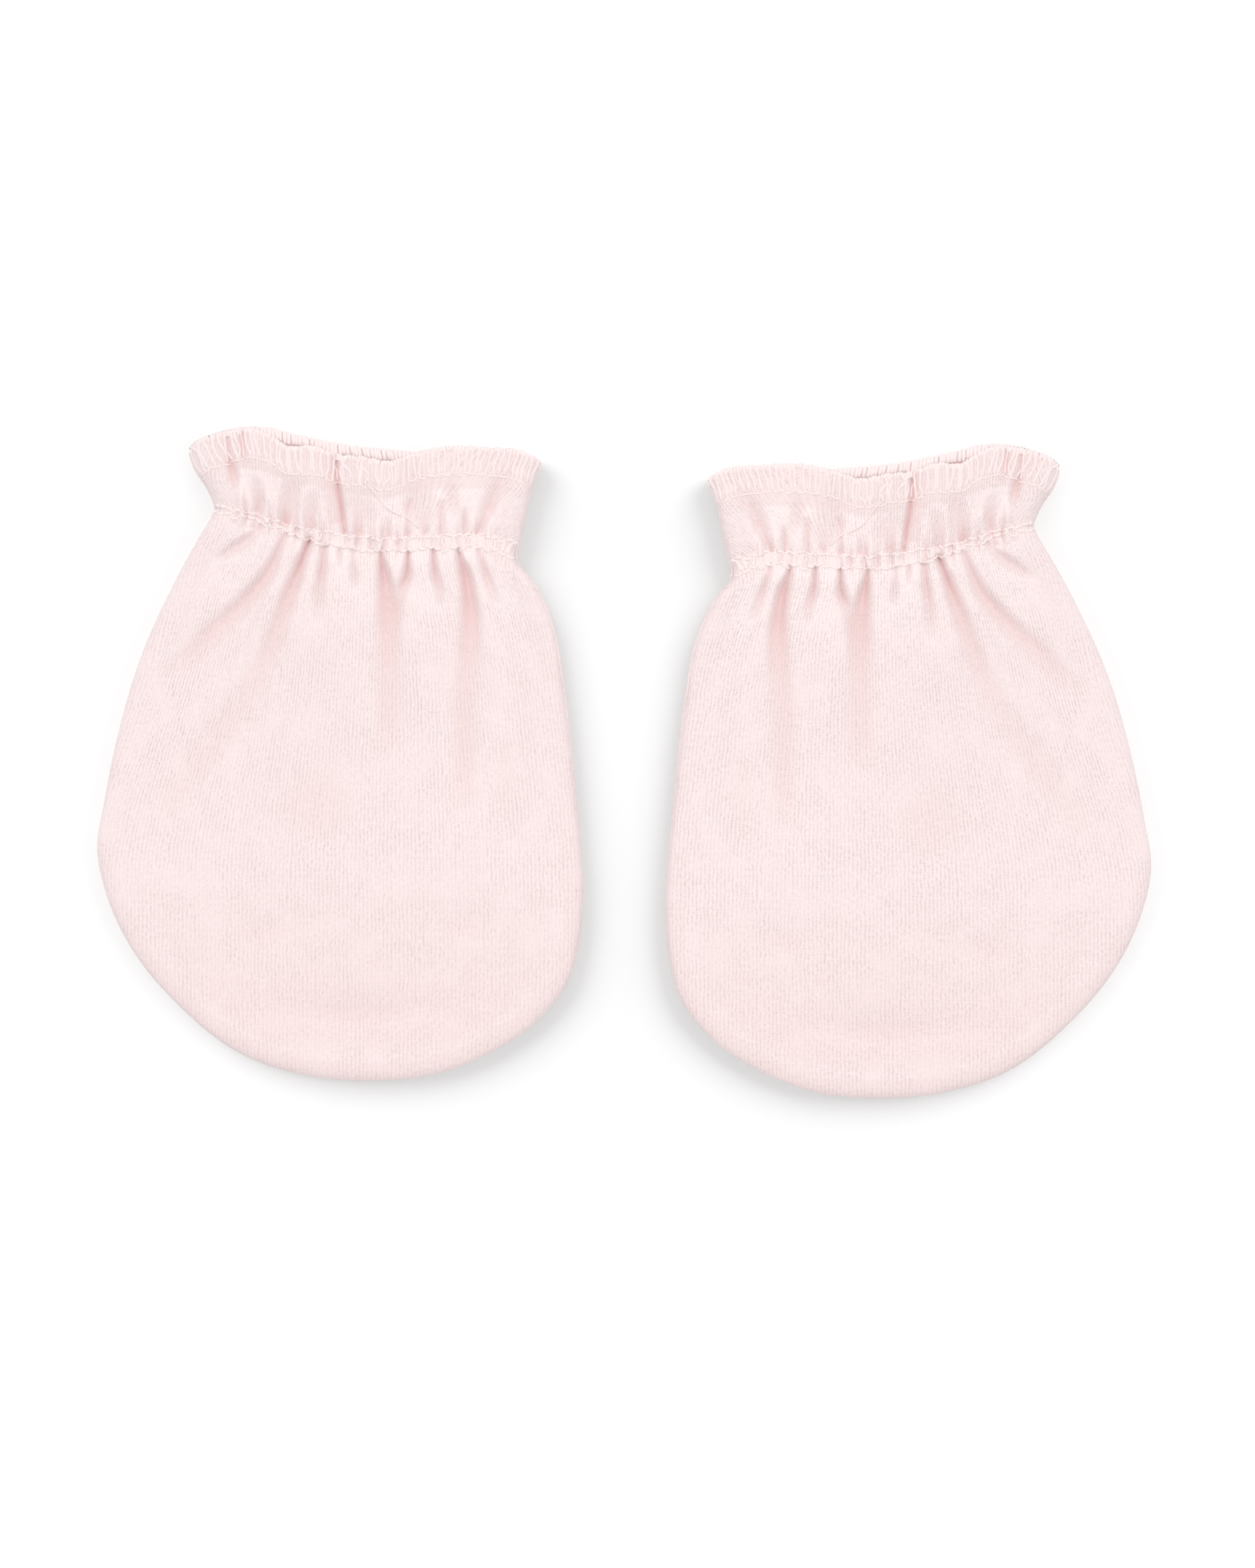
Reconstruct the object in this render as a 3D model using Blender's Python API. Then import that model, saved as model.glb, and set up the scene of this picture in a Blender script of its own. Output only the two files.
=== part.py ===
"""A pair of gathered newborn mittens laid side by side, palms down.

Each mitten is sewn from two jersey panels, a front (on top) and a back (underneath), each cut in one
piece with its frill. An elastic line at the wrist gathers both. The two mittens mirror each other.

Sizes are millimetres; the meshes are written in metres. In a mitten's own frame +X points to the other
mitten, +Y from fingertips to frill and +Z up from the surface that it lies on.
"""

import math

import bmesh
import bpy
import numpy as np

MM = 0.001

# Driving dimensions
PAIR_SPACING = 93.6     # between the middles of the two mittens
PAIR_STAGGER = 2.88     # the right mitten lies this much further towards the fingertips
PAIR_SHIFT = 0.17       # puts the middle of the pair's box on the origin
WALL = 1.2              # cloth, with its knit pile
SEAM_GAP = 0.3          # clearance between the panels along the side seam
SEAM_HEIGHT = 2.3       # the side seam, above the surface
SIDE_HEIGHT = 1.4       # where the back panel's rounded edge reaches furthest out
FRONT_ROLL = 3.4        # width of the front panel's rounded edge
BACK_ROLL = 2.6         # width of the back panel's rounded edge
OUTER_SEAM_INSET = 0.5  # the seam inside the silhouette, on the outer side
INNER_SEAM_INSET = 1.2  # the same on the upper inner side, where the back panel shows beside the front
BODY_LEVEL = 4.4        # top of the front panel just inside its rounded edge
CUFF_LEVEL = 5.6        # the same at the wrist and the frill
PUFF = 0.9              # how much the middle of the body stands above its edges
MOUTH_LIFT = 0.4        # how much the front's free edge rises towards the middle of the frill
WRIST_DIP = 0.5         # how far the elastic pulls the front in
WRIST_RISE = 0.3        # and the back
WRIST_DIP_WIDTH = 2.4
DEEPEST_FOLD = 1.6      # where folds meet, their sum stays within this

# The silhouette, from the wrist's outer end round the fingertips to its inner end: x, y
OUTER_SIDE = (
    (-20.5, 40.1), (-24.4, 33.5), (-28.9, 24.9), (-32.7, 16.2), (-36.3, 4.3), (-38.8, -7.7),
    (-40.0, -16.0), (-38.6, -22.9), (-34.5, -31.9), (-27.3, -40.8), (-15.7, -49.8), (-4.6, -53.2),
)
TIP = (5.4, -53.9)
INNER_SIDE = (
    (29.3, 33.4), (31.9, 28.4), (34.8, 22.3), (37.0, 10.8), (38.4, -1.7), (39.4, -12.5),
    (40.0, -22.7), (39.3, -31.2), (37.4, -37.8), (32.7, -43.8), (24.2, -49.6), (14.6, -53.1),
)
# The sides of the frill, from the wrist up
FRILL_OUTER = ((-20.5, 40.1), (-21.4, 42.6), (-22.6, 45.0), (-24.2, 48.0), (-24.7, 49.7))
FRILL_INNER = ((29.3, 33.4), (30.2, 37.1), (31.1, 41.9), (31.9, 45.5), (33.0, 48.1))
# The elastic's line across the wrist, and the free edge of each panel's frill, from the outer end inwards
WRIST_LINE = (
    (-20.5, 40.1), (-15.4, 39.2), (-8.8, 37.1), (-1.7, 35.3), (5.8, 34.3), (14.0, 34.4), (22.3, 34.9),
    (29.3, 33.4),
)
FREE_EDGES = {
    "front": (
        (-24.7, 49.7), (-23.3, 51.8), (-19.9, 52.8), (-15.0, 53.4), (-10.8, 52.0), (-8.8, 50.6), (-4.2, 50.5),
        (-0.8, 49.3), (4.1, 48.7), (8.2, 48.0), (12.4, 49.2), (18.1, 50.2), (24.4, 49.9), (30.6, 49.1),
        (33.0, 48.1),
    ),
    "back": (
        (-24.7, 49.7), (-22.8, 52.0), (-18.6, 53.2), (-12.6, 53.5), (-7.9, 52.5), (-0.8, 51.0), (9.8, 49.7),
        (18.0, 48.9), (26.0, 48.5), (33.0, 48.1),
    ),
}

# Folds of the front: start x, y; end x, y; how far the middle bends aside (to the left of the direction
# of travel); half-width at the start and the end; depth; the share of the depth left at the end
FOLD_COLUMNS = ("x0", "y0", "x1", "y1", "bend", "w0", "w1", "depth", "left")
BODY_FOLDS = (
    (-13.9, 37.7, -21.4, 31.0, 0.3, 0.9, 1.2, 0.5, 0.0),
    (-9.2, 36.2, -25.2, 15.4, 0.3, 1.0, 2.6, 1.2, 0.0),
    (-5.5, 35.4, -18.6, 3.4, 0.6, 0.9, 1.9, 1.5, 0.0),
    (-2.3, 34.4, -1.2, 22.6, 0.0, 0.9, 1.4, 0.9, 0.0),
    (2.2, 33.6, 2.8, 26.8, 0.0, 0.9, 1.2, 0.6, 0.0),
    (6.6, 33.6, 7.2, 3.4, -0.9, 0.9, 1.9, 1.5, 0.0),
    (11.1, 33.6, 8.4, 21.8, 0.0, 0.9, 1.4, 1.2, 0.0),
    (15.7, 33.6, 16.9, 23.6, 0.0, 0.9, 1.2, 0.9, 0.0),
    (19.9, 33.8, 20.8, -8.0, -1.2, 0.9, 1.9, 1.6, 0.0),
    (23.4, 33.6, 26.0, 23.4, 0.0, 0.9, 1.3, 0.8, 0.0),
    (26.4, 33.2, 30.4, 24.4, 0.0, 0.8, 1.1, 0.6, 0.0),
)
FRILL_FOLDS = (
    (-19.2, 40.0, -17.6, 53.0, 0.4, 0.9, 1.1, 1.1, 1.0),
    (-14.3, 38.2, -13.6, 47.0, -0.5, 0.9, 1.0, 0.7, 0.2),
    (-8.9, 37.0, -8.4, 46.0, 0.0, 0.9, 1.0, 1.0, 0.0),
    (0.6, 35.0, -0.6, 50.0, 0.3, 0.9, 0.9, 1.6, 1.0),
    (3.8, 34.6, 3.4, 40.4, 0.0, 0.8, 0.9, 0.6, 0.0),
    (8.0, 34.3, 8.2, 39.0, 0.0, 0.8, 0.9, 0.6, 0.0),
    (11.2, 34.4, 13.2, 46.0, 0.0, 1.0, 2.4, 0.9, 0.0),
    (16.4, 34.4, 16.6, 39.6, 0.0, 0.8, 0.9, 0.6, 0.0),
    (20.9, 34.8, 20.7, 42.8, 0.0, 0.9, 1.0, 0.9, 0.0),
    (24.2, 34.8, 25.6, 44.6, 0.0, 0.9, 1.4, 0.7, 0.0),
)
# Gathers of the back, pressed shallower by the surface: x at the wrist, x at the lower end, reach below
# the wrist and above it, depth
BACK_COLUMNS = ("x", "x_end", "reach", "frill_reach", "depth")
BACK_FOLDS = (
    (-14.0, -20.5, 11.0, 8.0, 0.4),
    (-7.0, -12.0, 20.0, 12.0, 0.6),
    (0.5, -1.5, 13.0, 7.0, 0.5),
    (8.0, 8.5, 24.0, 13.0, 0.6),
    (15.5, 17.0, 14.0, 8.0, 0.5),
    (22.5, 26.0, 18.0, 11.0, 0.6),
)
BACK_FOLD_WIDTH = 1.4

# Rows from the fingertips to the wrist and from there to the free edge, and columns between the rounded
# edges; the angles at which a rounded edge is cut
PANELS = {
    "front": {"body_rows": 18, "frill_rows": 6, "columns": 42, "roll": FRONT_ROLL},
    "back": {"body_rows": 18, "frill_rows": 5, "columns": 20, "roll": BACK_ROLL},
}
ROW_CROWDING = 0.5      # rows close up towards the fingertips and the wrist
FRONT_ROLL_ANGLES = (0.0, 24.0, 47.0, 69.0)
BACK_ROLL_ANGLES = (0.0, 28.0, 58.0)

CLOTH_COLOUR = (0.93, 0.76, 0.74, 1.0)
CLOTH_ROUGHNESS = 0.9


def smoothstep(low, high, value):
    t = np.clip((value - low) / (high - low), 0.0, 1.0)
    return t * t * (3 - 2 * t)


def smooth_curve(points, steps=24):
    """A smooth line through points: cubic pieces whose tangents come from the neighbouring points."""
    points = np.array(points, float)
    spans = np.linalg.norm(np.diff(points, axis=0), axis=1)
    tangents = np.gradient(points, np.concatenate([[0.0], np.cumsum(spans)]), axis=0)
    t = np.linspace(0.0, 1.0, steps, endpoint=False)[:, None]
    pieces = []
    for i, span in enumerate(spans):
        leave, arrive = tangents[i] * span, tangents[i + 1] * span
        pieces.append(
            (2 * t**3 - 3 * t**2 + 1) * points[i] + (t**3 - 2 * t**2 + t) * leave
            + (3 * t**2 - 2 * t**3) * points[i + 1] + (t**3 - t**2) * arrive
        )
    return np.vstack(pieces + [points[-1:]])


def points_along(line, shares):
    """The points of a line at these shares of its length."""
    reach = np.concatenate([[0.0], np.cumsum(np.linalg.norm(np.diff(line, axis=0), axis=1))])
    return np.stack([np.interp(shares * reach[-1], reach, line[:, k]) for k in (0, 1)], axis=1)


def bow(line, share):
    """How far a line across the mitten rises above the straight line between its ends, at shares of its x."""
    line = smooth_curve(line)
    x = line[0, 0] + (line[-1, 0] - line[0, 0]) * share
    straight = line[0, 1] + (line[-1, 1] - line[0, 1]) * share
    return np.interp(x, line[:, 0], line[:, 1]) - straight


def row_ends(body_rows, frill_rows):
    """Each row's outer and inner end on the silhouette, and the direction inwards at each.

    Towards the fingertips that direction is square to the silhouette; from the middle of the body up it
    turns to lie along the row.
    """
    t = np.linspace(0.0, 1.0, body_rows + 1)
    body_shares = t - ROW_CROWDING * np.sin(2 * np.pi * t) / (2 * np.pi)
    frill_shares = np.linspace(0.0, 1.0, frill_rows + 1)[1:]
    whole = smooth_curve(OUTER_SIDE + (TIP,) + INNER_SIDE[::-1])
    tip = int(np.argmin(np.linalg.norm(whole - np.array(TIP), axis=1)))
    lines = [
        np.vstack([points_along(body, body_shares), points_along(smooth_curve(frill), frill_shares)])
        for body, frill in ((whole[tip::-1], FRILL_OUTER), (whole[tip:], FRILL_INNER))
    ]
    along_row = lines[1] - lines[0]
    along_row[1:] /= np.linalg.norm(along_row[1:], axis=1)[:, None]
    turned = smoothstep(0.4, 0.8, np.arange(len(along_row)) / body_rows)[:, None]
    inward = []
    for line, turn in zip(lines, (1.0, -1.0)):
        step = np.gradient(line, axis=0)
        step[0] = (-turn, 0.0)
        step /= np.linalg.norm(step, axis=1)[:, None]
        square = turn * np.stack([step[:, 1], -step[:, 0]], axis=1)
        mixed = square * (1 - turned) + turn * along_row * turned
        inward.append(mixed / np.linalg.norm(mixed, axis=1)[:, None])
    return lines, inward


def fold_depth(x, y, folds):
    """The summed depth of the folds at each point: each one is a soft trough along a bent line."""
    depth = np.zeros_like(x)
    for row in folds:
        f = dict(zip(FOLD_COLUMNS, row))
        dx, dy = f["x1"] - f["x0"], f["y1"] - f["y0"]
        length = math.hypot(dx, dy)
        share = ((x - f["x0"]) * dx + (y - f["y0"]) * dy) / length**2
        inside = np.clip(share, 0.0, 1.0)
        aside = ((y - f["y0"]) * dx - (x - f["x0"]) * dy) / length - f["bend"] * 4 * inside * (1 - inside)
        width = f["w0"] + (f["w1"] - f["w0"]) * inside
        fade = f["left"] + (1 - f["left"]) * np.cos(0.5 * np.pi * inside)
        start = smoothstep(-2.0, 1.5, share * length)
        depth += f["depth"] * fade * start * np.exp(-((aside / width) ** 2))
    return depth


def above_wrist(x, y):
    line = smooth_curve(WRIST_LINE)
    return y - np.interp(x, line[:, 0], line[:, 1])


def front_height(x, y, across, row_share):
    """Top of the front panel. across is 0 to 1 over the row, row_share 0 at the fingertips, 1 at the wrist."""
    dome = 4 * across * (1 - across)
    above = above_wrist(x, y)
    cuff = smoothstep(-16.0, -1.0, above)
    level = BODY_LEVEL + (CUFF_LEVEL - BODY_LEVEL) * cuff
    level = level + PUFF * dome * smoothstep(0.0, 0.45, row_share) * (1 - 0.7 * cuff)
    level = level + MOUTH_LIFT * dome * smoothstep(2.0, 12.0, above)
    level = level - WRIST_DIP * np.exp(-((above / WRIST_DIP_WIDTH) ** 2))
    inner = smoothstep(0.0, 0.06, across) * smoothstep(0.0, 0.06, 1 - across)
    folds = fold_depth(x, y, BODY_FOLDS) + fold_depth(x, y, FRILL_FOLDS)
    return level - np.minimum(folds, DEEPEST_FOLD) * inner


def back_height(x, y, across):
    """Underside of the back panel: flat on the surface, but for the gathers at the wrist."""
    above = above_wrist(x, y)
    rise = WRIST_RISE * np.exp(-((above / WRIST_DIP_WIDTH) ** 2))
    for row in BACK_FOLDS:
        f = dict(zip(BACK_COLUMNS, row))
        lean = (f["x_end"] - f["x"]) * np.clip(-above / f["reach"], -0.3, 1.0)
        fade = smoothstep(-f["reach"], 0.0, above) * (1 - smoothstep(0.0, f["frill_reach"], above))
        rise = rise + f["depth"] * fade * np.exp(-(((x - f["x"] - lean) / BACK_FOLD_WIDTH) ** 2))
    return rise * smoothstep(0.0, 0.08, across) * smoothstep(0.0, 0.08, 1 - across)


def front_roll(level, inset):
    """A quarter ellipse from the seam up to the panel's top: distance inwards, height, outward direction."""
    wide = FRONT_ROLL - inset
    high = level - SEAM_HEIGHT - SEAM_GAP / 2
    stations = []
    for angle in np.radians(FRONT_ROLL_ANGLES):
        out, up = math.cos(angle) / wide, math.sin(angle) / high
        slope = math.hypot(out, up)
        stations.append((
            inset + wide * (1 - math.cos(angle)),
            SEAM_HEIGHT + SEAM_GAP / 2 + high * math.sin(angle),
            out / slope,
            up / slope,
        ))
    return stations


def back_roll(level, inset):
    """From the seam out to the silhouette and round to the underside, given as front_roll does."""
    stations = [(inset, SEAM_HEIGHT - SEAM_GAP / 2, 1.0, 0.0)]
    for angle in np.radians(BACK_ROLL_ANGLES):
        out, down = math.cos(angle), math.sin(angle)
        stations.append((BACK_ROLL * (1 - out), SIDE_HEIGHT + (level - SIDE_HEIGHT) * down, out, -down))
    return stations


def rolled_edge(end, inward, roll):
    """The outer and the inner points of one rounded edge, from the silhouette inwards."""
    outer = [(*(end + inward * reach), height) for reach, height, _, _ in roll]
    inner = [
        (*(end + inward * (reach + WALL * out)), height - WALL * up)
        for reach, height, out, up in roll
    ]
    return outer, inner


def panel_points(side):
    """Outer and inner points of a panel, as two grids of rows (fingertips first) by columns."""
    spec = PANELS[side]
    (outer_ends, inner_ends), (from_outer, from_inner) = row_ends(spec["body_rows"], spec["frill_rows"])
    make_roll = front_roll if side == "front" else back_roll
    across = np.linspace(0.0, 1.0, spec["columns"] + 1)
    grids = [], []
    for i, (start, end) in enumerate(zip(outer_ends, inner_ends)):
        row_share = i / spec["body_rows"]
        up_frill = max(i - spec["body_rows"], 0) / spec["frill_rows"]

        def bowed(points):
            """Bends a row towards the wrist's line and, above it, towards the free edge."""
            points = np.array(points)
            share = (points[:, 0] - start[0]) / max(end[0] - start[0], 1.0)
            at_wrist = smoothstep(0.55, 1.0, row_share) * (1 - up_frill)
            points[:, 1] += at_wrist * bow(WRIST_LINE, share) + up_frill * bow(FREE_EDGES[side], share)
            return points

        first = start + from_outer[i] * spec["roll"]
        last = end + from_inner[i] * spec["roll"]
        middle = bowed(first + (last - first) * across[:, None])
        if side == "front":
            z = front_height(middle[:, 0], middle[:, 1], across, row_share)
            inner_z = z - WALL
        else:
            z = back_height(middle[:, 0], middle[:, 1], across)
            inner_z = z + WALL
        upper_body = smoothstep(0.4, 0.75, row_share)
        inner_inset = OUTER_SEAM_INSET + (INNER_SEAM_INSET - OUTER_SEAM_INSET) * upper_body
        left = rolled_edge(start, from_outer[i], make_roll(z[0], OUTER_SEAM_INSET))
        right = rolled_edge(end, from_inner[i], make_roll(z[-1], inner_inset))
        for grid, near, heights, far in zip(grids, left, (z, inner_z), right):
            grid.append(np.vstack([bowed(near), np.column_stack([middle, heights]), bowed(far[::-1])]))
    return np.array(grids)


def cloth_material(name):
    material = bpy.data.materials.new(name)
    material.use_nodes = True
    shader = material.node_tree.nodes["Principled BSDF"]
    shader.inputs["Base Color"].default_value = CLOTH_COLOUR
    shader.inputs["Roughness"].default_value = CLOTH_ROUGHNESS
    shader.inputs["Metallic"].default_value = 0.0
    material.diffuse_color = CLOTH_COLOUR
    return material


def panel_mesh(name, grids, mirror):
    """A closed wall: the outer and inner grids, joined along the side seam and the free edge."""
    rows, columns = grids.shape[1:3]
    bm = bmesh.new()
    for grid in grids * (mirror * MM, MM, MM):
        verts = [[bm.verts.new(point) for point in row] for row in grid]
        for near, far in zip(verts, verts[1:]):
            for j in range(columns - 1):
                bm.faces.new((near[j], near[j + 1], far[j + 1], far[j]))
    bmesh.ops.remove_doubles(bm, verts=bm.verts, dist=0.01 * MM)
    rims = [edge for edge in bm.edges if edge.is_boundary]
    bmesh.ops.bridge_loops(bm, edges=rims)
    bmesh.ops.recalc_face_normals(bm, faces=bm.faces)
    mesh = bpy.data.meshes.new(name)
    bm.to_mesh(mesh)
    bm.free()
    mesh.shade_smooth()
    mesh.set_sharp_from_angle(angle=math.radians(60))
    return mesh


def add_mitten(name, mirror):
    """mirror is 1 for the left mitten and -1 for the right one."""
    middle = bpy.data.objects.new(name, None)
    middle.location = (-mirror * PAIR_SPACING / 2 * MM, (mirror * PAIR_STAGGER / 2 + PAIR_SHIFT) * MM, 0.0)
    bpy.context.scene.collection.objects.link(middle)
    for side in PANELS:
        mesh = panel_mesh(f"{name}_{side}_panel", panel_points(side), mirror)
        mesh.materials.append(cloth_material(f"{name}_{side}_jersey"))
        panel = bpy.data.objects.new(mesh.name, mesh)
        panel.parent = middle
        bpy.context.scene.collection.objects.link(panel)


def main():
    for old in list(bpy.data.objects):
        bpy.data.objects.remove(old)
    add_mitten("left", 1)
    add_mitten("right", -1)


main()
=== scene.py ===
import bpy
import numpy as np
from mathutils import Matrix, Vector


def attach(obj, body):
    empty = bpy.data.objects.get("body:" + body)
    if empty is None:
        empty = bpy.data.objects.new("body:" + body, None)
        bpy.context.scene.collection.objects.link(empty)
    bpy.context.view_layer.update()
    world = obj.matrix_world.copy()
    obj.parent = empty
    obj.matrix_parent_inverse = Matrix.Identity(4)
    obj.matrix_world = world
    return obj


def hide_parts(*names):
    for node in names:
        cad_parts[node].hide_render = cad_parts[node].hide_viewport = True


mm = 0.001
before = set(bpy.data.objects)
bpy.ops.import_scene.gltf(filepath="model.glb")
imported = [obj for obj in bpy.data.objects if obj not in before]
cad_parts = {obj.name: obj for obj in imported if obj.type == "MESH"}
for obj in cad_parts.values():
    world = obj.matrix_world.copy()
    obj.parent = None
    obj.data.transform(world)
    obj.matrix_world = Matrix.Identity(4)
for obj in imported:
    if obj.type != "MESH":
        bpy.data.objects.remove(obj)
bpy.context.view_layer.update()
print("frame loaded:", ", ".join(sorted(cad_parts)))

pair = {
    "spacing": 93.6,  # between the middles of the two mittens
    "stagger": 2.88,  # the right mitten lies this much further towards the fingertips
    "shift": 0.17,    # of both towards the frills
}

# The cut of one mitten, every line from its outer end inwards or from the wrist outwards: x, y
cut = {
    "outerSide": (
        (-20.5, 40.1), (-24.4, 33.5), (-28.9, 24.9), (-32.7, 16.2), (-36.3, 4.3), (-38.8, -7.7),
        (-40.0, -16.0), (-38.6, -22.9), (-34.5, -31.9), (-27.3, -40.8), (-15.7, -49.8), (-4.6, -53.2),
    ),
    "tip": (5.4, -53.9),
    "innerSide": (
        (29.3, 33.4), (29.3, 31.9), (31.9, 28.4), (34.8, 22.3), (37.0, 10.8), (38.4, -1.7), (39.4, -12.5),
        (40.0, -22.7), (39.3, -31.2), (37.4, -37.8), (32.7, -43.8), (24.2, -49.6), (14.6, -53.1),
    ),
    "frillOuter": ((-20.5, 40.1), (-21.4, 42.6), (-22.6, 45.0), (-24.2, 48.0), (-24.7, 49.7)),
    "frillInner": ((29.3, 33.4), (30.2, 37.1), (31.1, 41.9), (31.9, 45.5), (33.0, 48.1)),
    "wristLine": (
        (-20.5, 40.1), (-15.4, 39.2), (-8.8, 37.1), (-1.7, 35.3), (5.8, 34.3), (14.0, 34.4), (22.3, 34.9),
        (29.3, 33.4),
    ),
    "frontEdge": (
        (-24.7, 49.7), (-23.7, 51.0), (-21.4, 52.1), (-17.6, 53.1), (-15.0, 53.4), (-10.8, 52.0),
        (-8.8, 50.6), (-4.2, 50.5), (-0.8, 49.3), (4.1, 48.7), (8.2, 48.0), (12.4, 49.3), (18.1, 50.4),
        (24.4, 50.2), (30.6, 49.5), (33.0, 48.1),
    ),
    "backEdge": (
        (-24.7, 49.7), (-23.7, 51.0), (-21.4, 52.1), (-17.6, 53.1), (-12.6, 53.3), (-7.9, 52.2),
        (-0.8, 50.6), (9.8, 49.4), (18.0, 48.8), (26.0, 48.5), (33.0, 48.1),
    ),
}

# The lie of the cloth
form = {
    "wall": 0.8,
    "frontRoll": 3.4,      # width of the front panel's rounded edge
    "backRoll": 2.6,       # the same underneath
    "roundness": 2.5,      # exponent of the front's rounded edge: 2 is an ellipse
    "seamHeight": 2.3,
    "seamGap": 0.08,       # between the two panels there
    "sideHeight": 1.4,     # where the back reaches furthest out
    "outerInset": 0.2,     # the seam inside the silhouette, on the outer side
    "innerInset": 0.5,     # the same on the upper inner side
    "lip": 0.18,           # radius by which the front turns in at the seam
    "tuck": 0.35,          # how far the back runs in under the front
    # Share of the wall that is left at the seam, and the turn in radians until it is whole
    "seamWall": {"front": (0.5, 0.6), "back": (0.6, 1.2)},
    "bodyLevel": 4.4,
    "cuffLevel": 5.6,
    "cuffFrom": -16.0,     # above the wrist's line: from here the body rises to the cuff's level
    "cuffTo": -1.0,
    "puff": 0.9,           # how much the middle stands above the sides, in full this far from the fingertips
    "puffReach": 42.0,
    "cuffPuff": 0.3,       # share of it that is left at the cuff
    "mouthLift": 0.4,      # how much the front's middle rises again
    "mouthLiftFrom": (2.0, 12.0),    # heights above the wrist between which it does
    "mouthRise": 3.8,      # how far the back's free edge stands off the surface
    "mouthFrom": (7.0, 16.0),    # heights above the wrist between which it rises
    "underFront": 0.3,     # room that the back leaves below the front
    "wristDip": 0.3,       # how far the elastic pulls the front in
    "wristDipWidth": 2.0,
    "wristRise": 0.3,      # and the back
    "pinch": 0.16,         # height of the small creases at the elastic
    "pinchBelow": 2.2,     # how far they reach below it and above it
    "pinchAbove": 3.4,
    "pinchWaves": (1.3, 2.5),    # from crest to crest, of each of the sine waves that make them
    "pinchSeed": 21,
    "deepestFold": 2.3,
    "tipFade": 4.0,        # folds end this far before the fingertips' rounded edge
    "swell": 0.06,         # how much the cloth between folds swells over them, and up to which slope
    "swellSlope": 3.0,
    "edgeRadius": 0.5,     # the overlocked edge rounds over by this much
    "hem": 0.2,            # the cloth ends this far inside the sewn edge
    "scallop": 0.26,       # how far the loops draw the front's edge in between them
    "scallopPower": 0.7,   # below 1 the scallops are round with sharp corners
}
# Painted shade, highlight and glow in the cloth's colour: how deep in a fold the cloth counts as, which
# tints it darker and pinker where shade falls. Places are y, but for those above the wrist's line.
paintedShading = {
    "depth": 1.9,             # folds this deep have the full painted shade
    "slope": 0.4,             # painted shade on flanks that face away from the light: a slope counts as this depth, up to the steepest
    "steepest": 1.5,
    "level": 0.3,             # and this much less everywhere
    "crestLight": 0.19,            # painted highlight: crests where the cloth is drawn together, this much the other way
    "crestLightFrom": -20.0,       # above the wrist's line
    "crestLightTo": -3.0,
    "tip": (0.2, -15.0, -45.0),    # painted shade near the fingertips: amount, where it starts, where it is full
    "rim": (0.2, -8.0, -42.0),     # painted shade on the rounded sides, the same way
    "shadeUnderThreads": 0.35,     # painted shade between the overlock's threads, where the cloth shows
    "glow": 0.9,              # painted glow: how much more the inside glows near the mouth, for light that comes through the cloth
    "glowReach": 5.0,
}
# Shares of a row, from both of its ends, over which things fade in
margins = {"folds": 0.05, "gathers": 0.08, "mouth": 0.2, "swell": 0.04}
# Low ridges on either side of the elastic: height, place above the wrist, width
ridges = ((0.3, -3.2, 1.9), (0.2, 3.0, 1.6))
# Unevenness of the front's cloth: height, seed, shortest and longest wave
unevenCloth = ((0.16, 4, 9.0, 26.0), (0.05, 8, 3.0, 6.0))

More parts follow.
